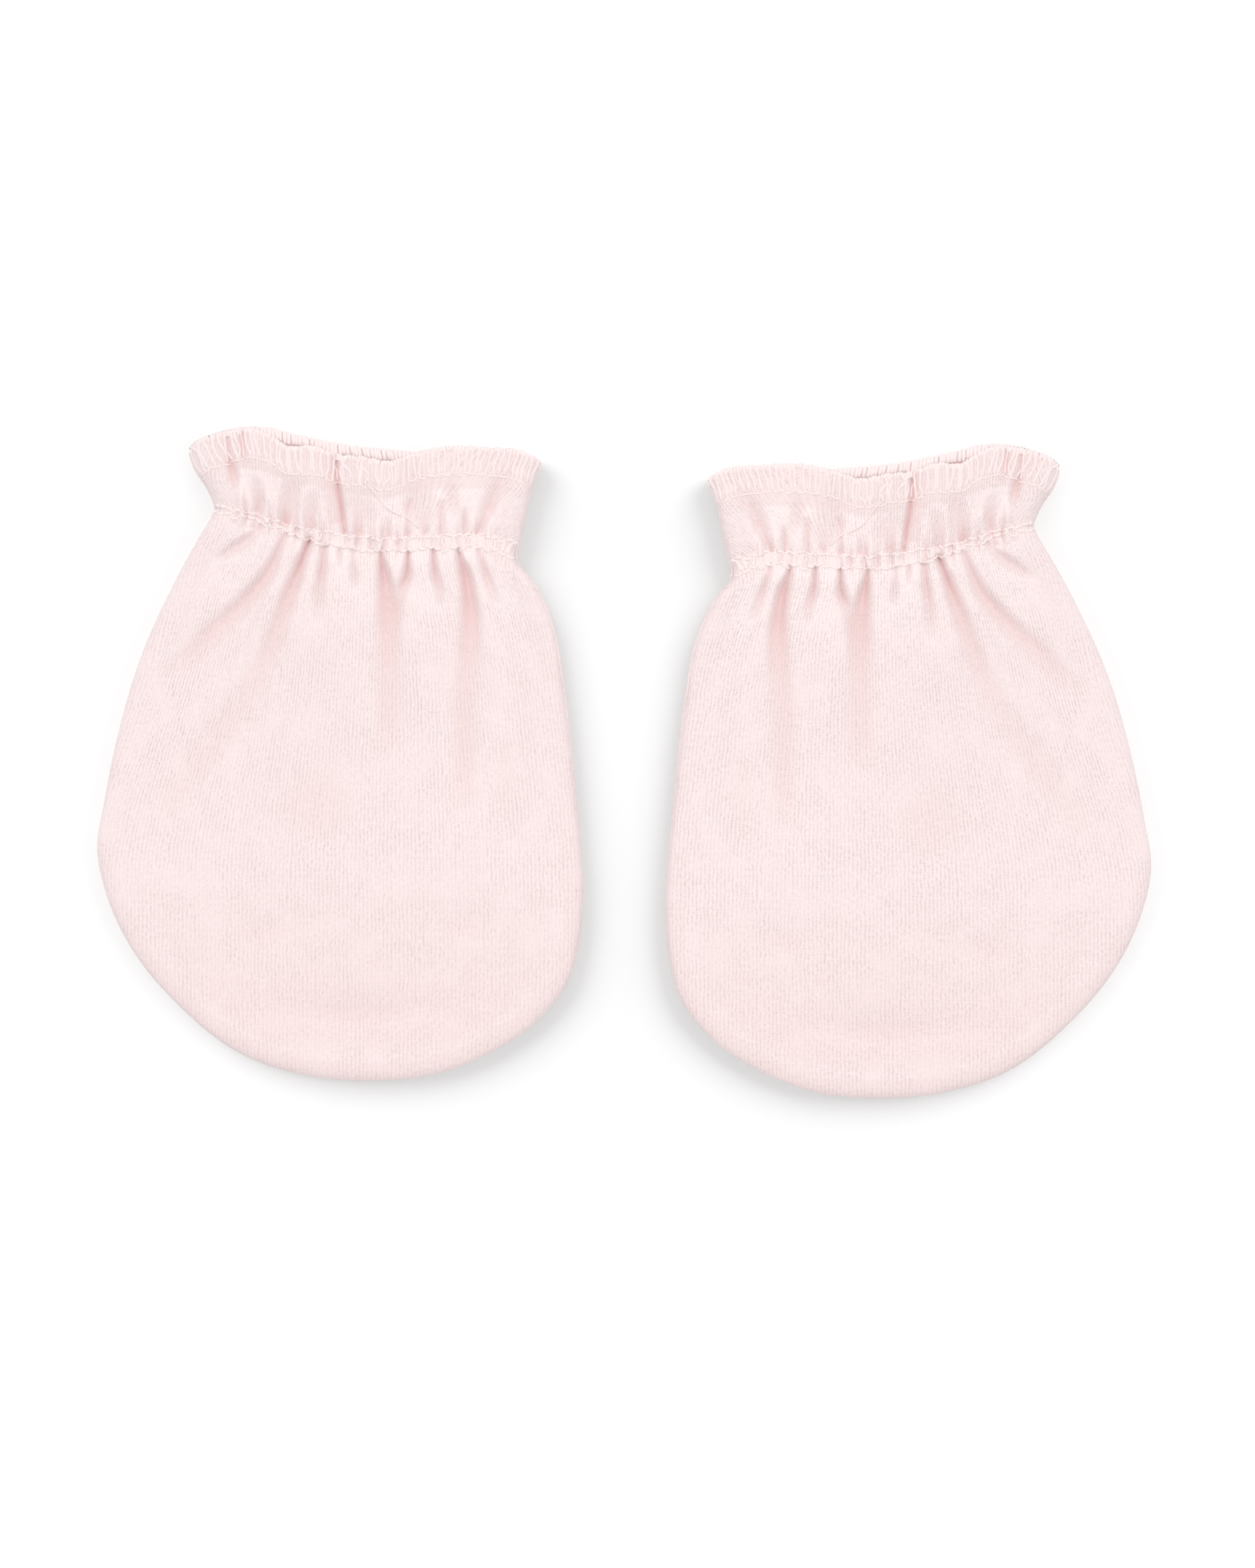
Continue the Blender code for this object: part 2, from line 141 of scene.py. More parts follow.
# Folds of the front, each a line of points: x, y, half-width, depth
bodyFolds = (
    ((-12.8, 37.2, 0.8, 0.5), (-15.6, 34.8, 1.0, 0.85), (-18.7, 32.7, 1.2, 0.65), (-22.4, 30.6, 1.4, 0.0)),
    ((-8.9, 35.7, 0.7, 0.7), (-12.0, 29.2, 1.1, 1.35), (-15.6, 24.8, 1.4, 1.25), (-20.2, 20.2, 1.8, 1.05),
     (-24.7, 15.5, 2.3, 0.7), (-28.2, 10.8, 3.0, 0.0)),
    ((-4.9, 35.0, 0.7, 1.7), (-6.5, 30.5, 0.9, 1.9), (-8.2, 25.9, 1.3, 1.4), (-9.8, 21.1, 1.5, 1.15),
     (-11.6, 16.3, 1.9, 0.85), (-14.6, 10.3, 2.6, 0.65), (-18.5, 4.3, 3.4, 0.6), (-23.8, -2.9, 4.2, 0.5),
     (-28.4, -11.3, 4.4, 0.35), (-30.5, -19.7, 4.5, 0.0)),
    ((-2.2, 33.9, 0.7, 0.9), (-2.9, 29.5, 0.85, 1.1), (-3.2, 25.5, 1.1, 0.7), (-3.4, 20.0, 1.5, 0.0)),
    ((0.1, 33.2, 0.6, 0.7), (0.4, 29.6, 0.7, 0.0)),
    ((2.2, 33.0, 0.65, 0.6), (2.5, 29.5, 0.8, 0.6), (2.8, 26.0, 1.0, 0.0)),
    ((6.7, 33.0, 0.6, 1.1), (7.4, 29.5, 0.95, 2.2), (7.9, 25.9, 1.3, 1.95), (8.2, 21.1, 1.8, 1.5),
     (8.3, 16.3, 1.9, 1.05), (8.4, 10.3, 2.1, 0.85), (8.2, 4.3, 2.6, 0.65), (7.4, -3.0, 3.6, 0.0)),
    ((11.3, 33.0, 0.6, 0.9), (11.2, 29.5, 0.8, 1.6), (10.2, 26.4, 1.05, 0.85), (9.4, 23.0, 1.3, 0.4),
     (9.0, 20.5, 1.3, 0.0)),
    ((15.5, 33.1, 0.55, 0.8), (15.8, 29.5, 0.75, 1.3), (16.6, 26.4, 0.9, 0.6), (16.9, 23.0, 1.1, 0.0)),
    ((19.6, 33.2, 0.6, 0.9), (20.7, 29.5, 0.95, 2.2), (21.3, 25.9, 1.1, 2.15), (21.6, 21.1, 1.5, 1.65),
     (21.4, 16.3, 1.8, 1.1), (20.8, 10.3, 2.0, 0.9), (20.8, 4.3, 2.0, 0.8), (20.7, -5.0, 2.0, 0.6),
     (20.3, -13.7, 2.4, 0.0)),
    ((23.0, 33.1, 0.6, 0.6), (24.1, 29.5, 0.8, 0.9), (25.2, 26.4, 1.0, 0.6), (26.2, 23.6, 1.1, 0.0)),
    ((28.2, 31.8, 0.7, 0.6), (29.8, 29.3, 0.8, 0.7), (31.2, 26.6, 0.9, 0.4), (32.2, 24.0, 1.0, 0.0)),
    ((28.0, 12.0, 3.0, 0.0), (28.2, 4.0, 3.0, 0.3), (28.0, -8.0, 3.2, 0.4), (27.0, -20.0, 3.2, 0.0)),
)
frillFolds = (
    ((-18.3, 53.4, 0.8, 0.7), (-18.2, 50.0, 0.8, 0.9), (-17.7, 45.8, 1.1, 1.7), (-18.2, 43.2, 1.1, 1.3),
     (-18.6, 40.8, 0.8, 0.7)),
    ((-15.9, 53.6, 0.7, 0.9), (-15.8, 50.4, 0.7, 1.0), (-15.6, 47.6, 0.7, 0.2)),
    ((-14.0, 46.6, 1.2, 0.0), (-13.5, 44.4, 1.3, 0.5), (-13.2, 41.8, 1.1, 0.8), (-13.6, 38.9, 0.9, 0.8),
     (-13.9, 37.3, 0.8, 0.7)),
    ((-7.8, 47.0, 1.4, 0.0), (-7.8, 44.0, 1.4, 0.6), (-8.2, 41.0, 1.3, 0.95), (-8.6, 37.8, 1.0, 1.4)),
    ((-4.2, 44.0, 1.2, 0.0), (-4.4, 41.0, 1.3, 0.6), (-4.4, 37.0, 0.9, 0.7)),
    ((3.2, 44.0, 2.6, 0.0), (3.8, 40.0, 2.8, 0.5), (4.2, 36.0, 2.0, 0.0)),
    ((-1.6, 49.6, 1.3, 0.3), (-1.4, 46.0, 1.4, 0.5), (-1.0, 42.0, 1.4, 0.6), (-0.3, 38.0, 1.2, 0.6)),
    ((3.4, 40.4, 0.9, 0.0), (3.5, 38.0, 0.9, 0.5), (3.6, 36.2, 0.8, 0.9)),
    ((8.2, 40.0, 0.9, 0.0), (8.1, 38.0, 0.9, 0.4), (8.1, 35.8, 0.8, 0.9)),
    ((11.9, 42.6, 0.8, 0.0), (11.6, 41.0, 0.8, 0.7), (11.4, 39.4, 0.7, 0.3), (11.2, 36.0, 0.7, 0.7)),
    ((12.0, 48.4, 2.6, 0.0), (12.6, 45.0, 2.8, 0.45), (13.4, 40.6, 2.4, 0.45), (14.2, 36.4, 0.8, 0.8)),
    ((17.0, 42.0, 0.8, 0.0), (16.9, 40.6, 0.8, 0.6), (16.8, 38.6, 0.75, 0.7), (16.6, 36.0, 0.7, 0.6)),
    ((18.4, 46.4, 1.2, 0.0), (18.5, 43.5, 1.1, 0.6), (18.8, 40.6, 1.0, 0.5), (19.4, 38.2, 0.7, 0.0)),
    ((20.7, 41.0, 0.7, 0.0), (20.6, 39.0, 0.65, 0.9), (20.5, 36.0, 0.6, 1.0)),
    ((27.6, 47.0, 1.6, 0.0), (26.4, 44.0, 1.6, 0.8), (25.2, 41.2, 1.4, 1.0), (23.9, 38.6, 1.0, 0.9),
     (22.7, 36.2, 0.8, 0.8)),
    ((30.2, 42.4, 0.9, 0.0), (28.4, 38.4, 0.9, 0.9), (27.0, 35.8, 0.7, 0.9)),
)
# Shallow hollows of the lower body: x, y, half-width, half-height, depth
hollows = (
    (-3.6, -8.4, 8.0, 9.0, 0.55),
    (-12.4, -29.2, 7.0, 3.0, 0.45),
    (3.4, -42.6, 12.0, 2.6, 0.6),
    (20.0, -28.0, 6.0, 3.5, 0.45),
)
# The deepest fold of the frill, whose right side laps over it
lapFold = (
    (-0.6, 50.2, 0.8, 1.0), (-0.4, 47.6, 0.8, 1.1), (0.0, 43.6, 0.75, 1.25), (0.6, 39.4, 0.7, 1.25),
    (0.9, 36.4, 0.65, 1.1),
)
# How the cloth right of it laps over it: by how far where the fold is this deep, between which distances
# beside it this grows, and how wide the lap is
lap = {"reach": 0.5, "depth": 2.0, "from": 0.2, "to": 1.1, "width": 2.4}
# Gathers of the back, pressed shallower by the surface: x at the wrist, x at the lower end, reach below the
# wrist and above it, depth
backColumns = ("x", "xEnd", "reach", "frillReach", "depth")
backFolds = (
    (-14.0, -20.5, 11.0, 8.0, 0.4),
    (-7.0, -12.0, 20.0, 12.0, 0.6),
    (0.5, -1.5, 13.0, 7.0, 0.5),
    (8.0, 8.5, 24.0, 13.0, 0.6),
    (15.5, 17.0, 14.0, 8.0, 0.5),
    (22.5, 26.0, 18.0, 11.0, 0.6),
)
backFoldWidth = 1.4
backFrillLean = 0.3  # on the frill they lean on by up to this share of the lean below it
foldFade = 0.5  # a fold fades out this far past its ends
# The core of a narrow fold: its share, the half-widths below which it starts and is full, and its own width
foldCore = {"share": 0.3, "from": 1.3, "full": 0.7, "width": 0.4}

# How finely each panel is cut: rows of the body, the frill and the rounded free edge, columns between the
# rounded sides, and the columns of a rounded side and of its lip. Each count divides by innerStep.
innerStep = 4
panelGrid = {
    "front": {"body": 200, "frill": 56, "edge": 4, "across": 264, "roll": 8, "lip": 4},
    "back": {"body": 136, "frill": 36, "edge": 4, "across": 152, "roll": 12, "lip": 4},
}
# Where along a panel's rows things change: shares of the body's rows, or of the frill's where it says so
rowPlan = {
    "crowding": 0.5,               # of rows towards the fingertips and the wrist
    "alongRow": (0.4, 0.8),        # the rounded sides turn from square to the silhouette to the row's line
    "bowed": (0.55, 1.0),          # the rows take on the wrist line's bow
    "inset": (0.4, 0.75),          # the inner side's seam moves in, and back past the wrist
    "insetBack": (-0.02, 0.12),
    "scallop": (0.86, 1.0),        # of the frill: the loops draw the edge in
    "threads": (0.55, 0.62),       # of the frill: the overlock's threads begin, and the painted shade under them
}


# Eases from 0 to 1 between low and high: three times the square of the share less twice its cube.
def smoothStep(low, high, value):
    t = np.clip((value - low) / (high - low), 0.0, 1.0)
    return t * t * (3 - 2 * t)


# Fades to 0 at both ends of a row, within this share of it.
def awayFromEnds(across, margin):
    return smoothStep(0.0, margin, across) * smoothStep(0.0, margin, 1 - across)


# A bell round 0: e to minus the square of offset over width.
def bell(offset, width):
    return np.exp(-((offset / width) ** 2))


def unit(vectors):
    return vectors / np.maximum(np.linalg.norm(vectors, axis=-1, keepdims=True), 1e-12)


# A smooth line through points: cubic pieces whose tangents come from the neighbouring points.
def smoothCurve(points, steps=24):
    points = np.array(points, float)
    spans = np.linalg.norm(np.diff(points, axis=0), axis=1)
    tangents = np.gradient(points, np.concatenate([[0.0], np.cumsum(spans)]), axis=0)
    t = np.linspace(0.0, 1.0, steps, endpoint=False)[None, :, None]
    leave = (tangents[:-1] * spans[:, None])[:, None]
    arrive = (tangents[1:] * spans[:, None])[:, None]
    pieces = (
        (2 * t**3 - 3 * t**2 + 1) * points[:-1, None] + (t**3 - 2 * t**2 + t) * leave
        + (3 * t**2 - 2 * t**3) * points[1:, None] + (t**3 - t**2) * arrive
    )
    return np.vstack([pieces.reshape(-1, points.shape[1]), points[-1:]])


# The length along a line up to each of its points.
def reachAlong(line):
    return np.concatenate([[0.0], np.cumsum(np.linalg.norm(np.diff(line, axis=0), axis=1))])


def lineLength(line):
    return np.linalg.norm(np.diff(line, axis=0), axis=1).sum()


# The values that a line's points carry, at these lengths along it.
def valuesAt(lengths, reach, values):
    return np.stack([np.interp(lengths, reach, axis) for axis in values.T], axis=-1)


# The points of a line at these shares of its length.
def pointsAlong(line, shares):
    reach = reachAlong(line)
    return valuesAt(shares * reach[-1], reach, line)


# How far a line across the mitten rises above the straight line between its ends, at shares of its x.
def bow(line, share):
    line = smoothCurve(line)
    x = line[0, 0] + (line[-1, 0] - line[0, 0]) * share
    straight = line[0, 1] + (line[-1, 1] - line[0, 1]) * share
    return np.interp(x, line[:, 0], line[:, 1]) - straight


# How far points lie above the wrist's line.
def aboveWrist(x, y):
    line = smoothCurve(cut["wristLine"])
    return y - np.interp(x, line[:, 0], line[:, 1])


# Each row's outer and inner end on the silhouette and the direction inwards there: square to the
# silhouette near the fingertips, and turned to lie along the row from the middle of the body up. Rows lie at
# even shares of each side's length, less a sine that crowds them towards the body's ends.
def rowEnds(bodyRows, frillRows):
    t = np.linspace(0.0, 1.0, bodyRows + 1)
    bodyShares = t - rowPlan["crowding"] * np.sin(2 * np.pi * t) / (2 * np.pi)
    frillShares = np.linspace(0.0, 1.0, frillRows + 1)[1:]
    whole = smoothCurve(cut["outerSide"] + (cut["tip"],) + cut["innerSide"][::-1], 40)
    tip = int(np.argmin(np.linalg.norm(whole - np.array(cut["tip"]), axis=1)))
    halves = ((whole[tip::-1], cut["frillOuter"]), (whole[tip:], cut["frillInner"]))
    lines = [
        np.vstack([pointsAlong(body, bodyShares), pointsAlong(smoothCurve(frill), frillShares)])
        for body, frill in halves
    ]
    alongRow = unit(lines[1] - lines[0])
    turned = smoothStep(*rowPlan["alongRow"], np.arange(len(alongRow)) / bodyRows)[:, None]
    inward = []
    for line, turn in zip(lines, (1.0, -1.0)):
        step = np.gradient(line, axis=0)
        step[0] = (-turn, 0.0)
        step = unit(step)
        square = turn * np.stack([step[:, 1], -step[:, 0]], axis=1)
        inward.append(unit(square * (1 - turned) + turn * alongRow * turned))
    return lines, inward


# How far each point lies to the side of a fold, square to the fold's line, and the fold's half-width and
# depth there. Past the line's ends the depth falls off as a bell.
def besideFold(x, y, stations):
    line = smoothCurve(stations, 8)
    line = line[np.argsort(line[:, 1])]
    lean = np.gradient(line[:, 0], line[:, 1] + 1e-9 * np.arange(len(line)))
    centre, width, depth, slope = (np.interp(y, line[:, 1], v) for v in (*line[:, [0, 2, 3]].T, lean))
    past = np.maximum(y - line[-1, 1], 0.0) + np.maximum(line[0, 1] - y, 0.0)
    return (x - centre) / np.hypot(1.0, slope), width, np.maximum(depth, 0.0) * bell(past, foldFade)


# The summed depth of the folds. Across each lies a soft bell, and where the fold is narrow a share of the
# depth is a core of less than half the width.
def foldDepth(x, y, folds):
    total = np.zeros_like(x)
    for stations in folds:
        aside, width, depth = besideFold(x, y, stations)
        core = foldCore["share"] * smoothStep(foldCore["from"], foldCore["full"], width)
        total += depth * ((1 - core) * bell(aside, width) + core * bell(aside, foldCore["width"] * width))
    return total


# Slow unevenness of the cloth: a sum of slanting waves of random direction and phase.
def unevenness(x, y, seed, shortest, longest, waves=9):
    random = np.random.default_rng(seed)
    total = np.zeros_like(x)
    for angle, phase, length in zip(
        random.uniform(0, np.pi, waves), random.uniform(0, 2 * np.pi, waves),
        random.uniform(shortest, longest, waves),
    ):
        total += np.sin(2 * np.pi * (x * np.cos(angle) + y * np.sin(angle)) / length + phase)
    return total / waves


# Share of the way from the body's level to the cuff's.
def cuffShare(above):
    return smoothStep(form["cuffFrom"], form["cuffTo"], above)


# Height of the front along its sides, from which its rounded edge falls: a low body and a higher cuff, less
# a bell at the elastic.
def sideLevel(above):
    level = form["bodyLevel"] + (form["cuffLevel"] - form["bodyLevel"]) * cuffShare(above)
    return level - form["wristDip"] * bell(above, form["wristDipWidth"])


# Top of the front panel: the side level plus a parabola across, minus the folds, whose sum is held below
# the deepest by a hyperbolic tangent, minus the lapped fold and the hollows, plus slow unevenness and small
# creases and ridges at the elastic. Also the mask of painted shade, how deep in a fold each point counts
# as: the depth of the folds and hollows and a share of the slope on flanks that face away from the light;
# less than 0, a painted highlight, on crests that are drawn together; and painted shade a little near the
# fingertips.
def frontHeight(x, y, across):
    dome = 4 * across * (1 - across)
    above = aboveWrist(x, y)
    fromTip = y - cut["tip"][1] - form["frontRoll"]
    domed = smoothStep(0.0, form["puffReach"], fromTip) * (1 - (1 - form["cuffPuff"]) * cuffShare(above))
    level = sideLevel(above) + form["puff"] * dome * domed
    level = level + form["mouthLift"] * dome * smoothStep(*form["mouthLiftFrom"], above)
    inner = awayFromEnds(across, margins["folds"]) * smoothStep(0.0, form["tipFade"], fromTip)
    folds = foldDepth(x, y, bodyFolds) + foldDepth(x, y, frillFolds)
    folds = form["deepestFold"] * np.tanh(folds / form["deepestFold"])
    folds = (folds + foldDepth(x, y, (lapFold,))) * inner
    shallow = inner * sum(
        depth * bell(x - hx, wide) * bell(y - hy, high) for hx, hy, wide, high, depth in hollows
    )
    random = np.random.default_rng(form["pinchSeed"])
    gathers = sum(
        np.sin(2 * np.pi * x / length + phase)
        for length, phase in zip(random.uniform(*form["pinchWaves"], 6), random.uniform(0, 6.28, 6))
    )
    reach = np.where(above > 0, form["pinchAbove"], form["pinchBelow"])
    pinched = form["pinch"] * gathers * bell(above, reach)
    for high, place, wide in ridges:
        pinched += high * bell(above - place, wide)
    slow = sum(high * unevenness(x, y, *waves) for high, *waves in unevenCloth)
    height = level - folds - shallow + (slow + pinched) * inner
    slope = np.gradient(height, axis=1) / np.maximum(np.gradient(x, axis=1), 0.02)
    # Painted shade in folds, hollows and on flanks facing away from the light, a painted highlight on
    # drawn-together crests, and painted shade near the fingertips.
    deep = folds + shallow + paintedShading["slope"] * np.clip(-slope, 0.0, paintedShading["steepest"]) * inner - paintedShading["level"]
    crestLight = paintedShading["crestLight"] * smoothStep(paintedShading["crestLightFrom"], paintedShading["crestLightTo"], above) * inner
    amount, start, full = paintedShading["tip"]
    return height, np.maximum(deep, -crestLight) + amount * smoothStep(start, full, y) * inner


# Underside of the back panel: flat on the surface, but for the gathers at the wrist, each a leaning bell,
# and the free edge, which rises towards the front's and stays below the front's folds. Also how deep the
# gathers are, which is the mask of painted shade in them.
def backHeight(x, y, across):
    above = aboveWrist(x, y)
    rise = form["wristRise"] * bell(above, form["wristDipWidth"])
    folds = np.zeros_like(x)
    for row in backFolds:
        f = dict(zip(backColumns, row))
        lean = (f["xEnd"] - f["x"]) * np.clip(-above / f["reach"], -backFrillLean, 1.0)
        fade = smoothStep(-f["reach"], 0.0, above) * (1 - smoothStep(0.0, f["frillReach"], above))
        folds += f["depth"] * fade * bell(x - f["x"] - lean, backFoldWidth)
    inner = awayFromEnds(across, margins["gathers"])
    mouth = form["mouthRise"] * smoothStep(*form["mouthFrom"], above)
    mouth = mouth * awayFromEnds(across, margins["mouth"])
    roof = frontHeight(x, y, across)[0] - 2 * form["wall"] - form["underFront"]
    return np.minimum((rise + folds) * inner + mouth, np.maximum(roof, 0.0)), folds * inner


# A quarter of a superellipse: distance from its upright end, height above it, and its outward direction.
def quarter(wide, high, angle, exponent):
    power = 2 / exponent
    wide, high, angle = np.broadcast_arrays(wide, high, angle)
    across, up = np.cos(angle), np.maximum(np.sin(angle), 1e-9)
    normal = unit(np.stack([across ** (2 - power) * high, up ** (2 - power) * wide], axis=-1))
    return wide * (1 - np.maximum(across, 0.0) ** power), high * up**power, normal


# The stations of a panel over its rounded side, from the seam to the panel's middle, as distance inwards and
# height: its outer surface, and its inner one, a wall's thickness inside it and less at the seam. The front
# turns in at the seam by a quarter circle and rises by a quarter superellipse to its top. The back runs in
# under the front's edge, out over the silhouette and round to the underside by two quarter ellipses.
def rolledSide(side, inset, level, grid):
    inset, level = inset[:, None], level[:, None]
    lipTurn = np.radians(np.linspace(90.0, 0.0, grid["lip"], endpoint=False))[None, :]
    turn = np.radians(np.linspace(0.0, 90.0, grid["roll"], endpoint=False))[None, :]
    middle, gap, lip = form["sideHeight"], form["seamGap"] / 2, form["lip"]
    if side == "front":
        foot = form["seamHeight"] + gap + lip
        lipReach, lipHeight = inset + lip * (1 - np.cos(lipTurn)), foot - lip * np.sin(lipTurn)
        lipOut = np.stack([np.cos(lipTurn), -np.sin(lipTurn)], axis=-1)
        reach, height, out = quarter(form["frontRoll"] - inset, level - foot, turn, form["roundness"])
        reach, height = reach + inset, height + foot
    else:
        high = form["seamHeight"] - gap - middle
        lipReach, lipHeight, lipOut = quarter(inset + form["tuck"], high, lipTurn, 2.0)
        lipHeight = middle + lipHeight
        reach, height, out = quarter(form["backRoll"] + 0 * level, middle - level, turn, 2.0)
        height, out = middle - height, out * (1.0, -1.0)
    lipReach, lipHeight = lipReach + 0 * level, lipHeight + 0 * level
    lipOut = np.broadcast_to(lipOut, lipReach.shape + (2,))
    share, whole = form["seamWall"][side]
    thick = share + (1 - share) * smoothStep(0, whole, turn) + 0 * reach
    thick = form["wall"] * np.concatenate([share + 0 * lipReach, thick], axis=1)
    line = np.stack([np.concatenate([lipReach, reach], 1), np.concatenate([lipHeight, height], 1)], axis=-1)
    outward = np.concatenate([lipOut, out + 0 * reach[..., None]], axis=1)
    return line, line + outward * (1.0, -1.0) * thick[..., None]


# A panel as grids of points, fingertips first: outer and inner surface, the flat cut that each point comes
# from, and its mask of painted shade, how deep in a fold it counts as. Rows run between the silhouette's
# two sides; above the wrist they bend from the elastic's line to the free edge, and the last few round over
# the overlocked edge by a quarter circle. The loops draw the front's edge in between them by a power of a
# sine.
def shapePanel(side):
    grid = panelGrid[side]
    ends, ways = rowEnds(grid["body"], grid["frill"])
    rows = len(ends[0])
    repeat = np.concatenate([np.arange(rows), np.full(grid["edge"], rows - 1)])
    (startEnd, farEnd), (fromStart, fromFar) = ([a[repeat] for a in both] for both in (ends, ways))
    edgeTurn = np.radians(np.linspace(0.0, 90.0, grid["edge"] + 1))[1:]
    short = form["edgeRadius"] + form["hem"]
    shortened = -short * smoothStep(grid["body"], grid["body"] + grid["frill"], np.arange(rows))
    rise = np.concatenate([shortened, form["edgeRadius"] * np.sin(edgeTurn) - short])
    sink = np.concatenate([np.zeros(rows), form["edgeRadius"] * (1 - np.cos(edgeTurn))])
    rowShare = (repeat / grid["body"])[:, None]
    upFrill = (np.maximum(repeat - grid["body"], 0) / grid["frill"])[:, None]
    roll = form[side + "Roll"]

    def bowed(x, y):
        share = (x - startEnd[:, :1]) / np.maximum(farEnd[:, :1] - startEnd[:, :1], 1.0)
        atWrist = smoothStep(*rowPlan["bowed"], rowShare) * (1 - upFrill)
        return y + atWrist * bow(cut["wristLine"], share) + upFrill * bow(cut[side + "Edge"], share)

    across = np.linspace(0.0, 1.0, grid["across"] + 1)[None, :]
    first = startEnd + fromStart * roll
    last = farEnd + fromFar * roll
    x = first[:, :1] + (last - first)[:, :1] * across
    y = bowed(x, first[:, 1:] + (last - first)[:, 1:] * across)
    z, fold = frontHeight(x, y, across) if side == "front" else backHeight(x, y, across)
    away = -1.0 if side == "front" else 1.0
    upper = smoothStep(*rowPlan["inset"], rowShare[:, 0])
    upper = upper * (1 - smoothStep(*rowPlan["insetBack"], upFrill[:, 0] + rowShare[:, 0] - 1))
    innerInset = form["outerInset"] + (form["innerInset"] - form["outerInset"]) * upper
    sides = []
    for end, inward, inset, level in (
        (startEnd, fromStart, np.full(len(z), form["outerInset"]), z[:, 0]),
        (farEnd, fromFar, innerInset, z[:, -1]),
    ):
        surfaces = []
        for surface in rolledSide(side, inset, level, grid):
            px = end[:, :1] + inward[:, :1] * surface[..., 0]
            py = bowed(px, end[:, 1:] + inward[:, 1:] * surface[..., 0])
            surfaces.append(np.stack([px, py, surface[..., 1]], axis=-1))
        sides.append(surfaces)
    middle = np.stack([x, y, z], axis=-1)
    if side == "front":
        middle = swell(middle, across)
    inside = middle + (0.0, 0.0, away * form["wall"])
    outer = np.concatenate([sides[0][0], middle, sides[1][0][:, ::-1]], axis=1)
    inner = np.concatenate([sides[0][1], inside, sides[1][1][:, ::-1]], axis=1)
    outer[..., 1] += rise[:, None]
    inner[..., 1] += rise[:, None]
    outer[..., 2] += away * sink[:, None]
    if side == "front":
        length = lineLength(outer[-1])
        loops = reachAlong(outer[-1]) * int(length / overlock["pitch"]) / length
        drawnIn = form["scallop"] * smoothStep(*rowPlan["scallop"], upFrill)
        for surface in (outer, inner):
            surface[..., 1] -= drawnIn * (1 - np.abs(np.sin(np.pi * loops)) ** form["scallopPower"])[None, :]
        # Painted shade between the overlock's threads.
        fold = fold + paintedShading["shadeUnderThreads"] * smoothStep(*rowPlan["threads"], upFrill)
    rollColumns = grid["roll"] + grid["lip"]
    folds = np.pad(fold, ((0, 0), (rollColumns, rollColumns)))
    # Painted shade on the rounded sides, growing towards the fingertips.
    amount, start, full = paintedShading["rim"]
    rim = amount * smoothStep(start, full, outer[..., 1])
    folds[:, :rollColumns], folds[:, -rollColumns:] = rim[:, :rollColumns], rim[:, -rollColumns:]
    return {
        "outer": outer, "inner": inner, "flat": flatCut(outer, rollColumns), "fold": folds,
        "rollColumns": rollColumns, "grid": grid, "side": side,
    }


# The cloth swells over its folds: each point moves down its own slope, held by a hyperbolic tangent, so
# crests widen and troughs narrow. Right of the lap fold the cloth also moves over it.
def swell(middle, across):
    x, y, z = middle[..., 0], middle[..., 1], middle[..., 2]
    alongX = np.gradient(x, axis=1)
    slopeX = np.gradient(z, axis=1) / np.where(np.abs(alongX) < 1e-6, 1.0, alongX)
    steepest = form["swellSlope"]
    shift = form["swell"] * steepest * np.tanh(slopeX / steepest) * awayFromEnds(across, margins["swell"])
    aside, _, depth = besideFold(x, y, lapFold)
    lapping = smoothStep(lap["from"], lap["to"], aside) * bell(np.maximum(aside, 0), lap["width"])
    shift += lap["reach"] * np.minimum(depth / lap["depth"], 1) * lapping
    return np.stack([x - shift, y, z], axis=-1)


knitLie = {
    "axis": 12.0,       # the wales that run straight up lie at this x
    "gathered": 1.17,   # how much closer the wales are at the wrist
    "outer": 0.13,      # and by how much more this far out, where they lean along the side seam
    "outerReach": 30.0,
    "from": -22.0,      # y where they start to close in
    "to": 32.0,
    "lean": 0.6,        # above the wrist they lean this much to the inner side, between these x
    "leanFrom": (12.0, 24.0),
    "smoothRows": 20,   # lengths along rows are averaged over this many, and that several times
    "smoothTimes": 3,
}


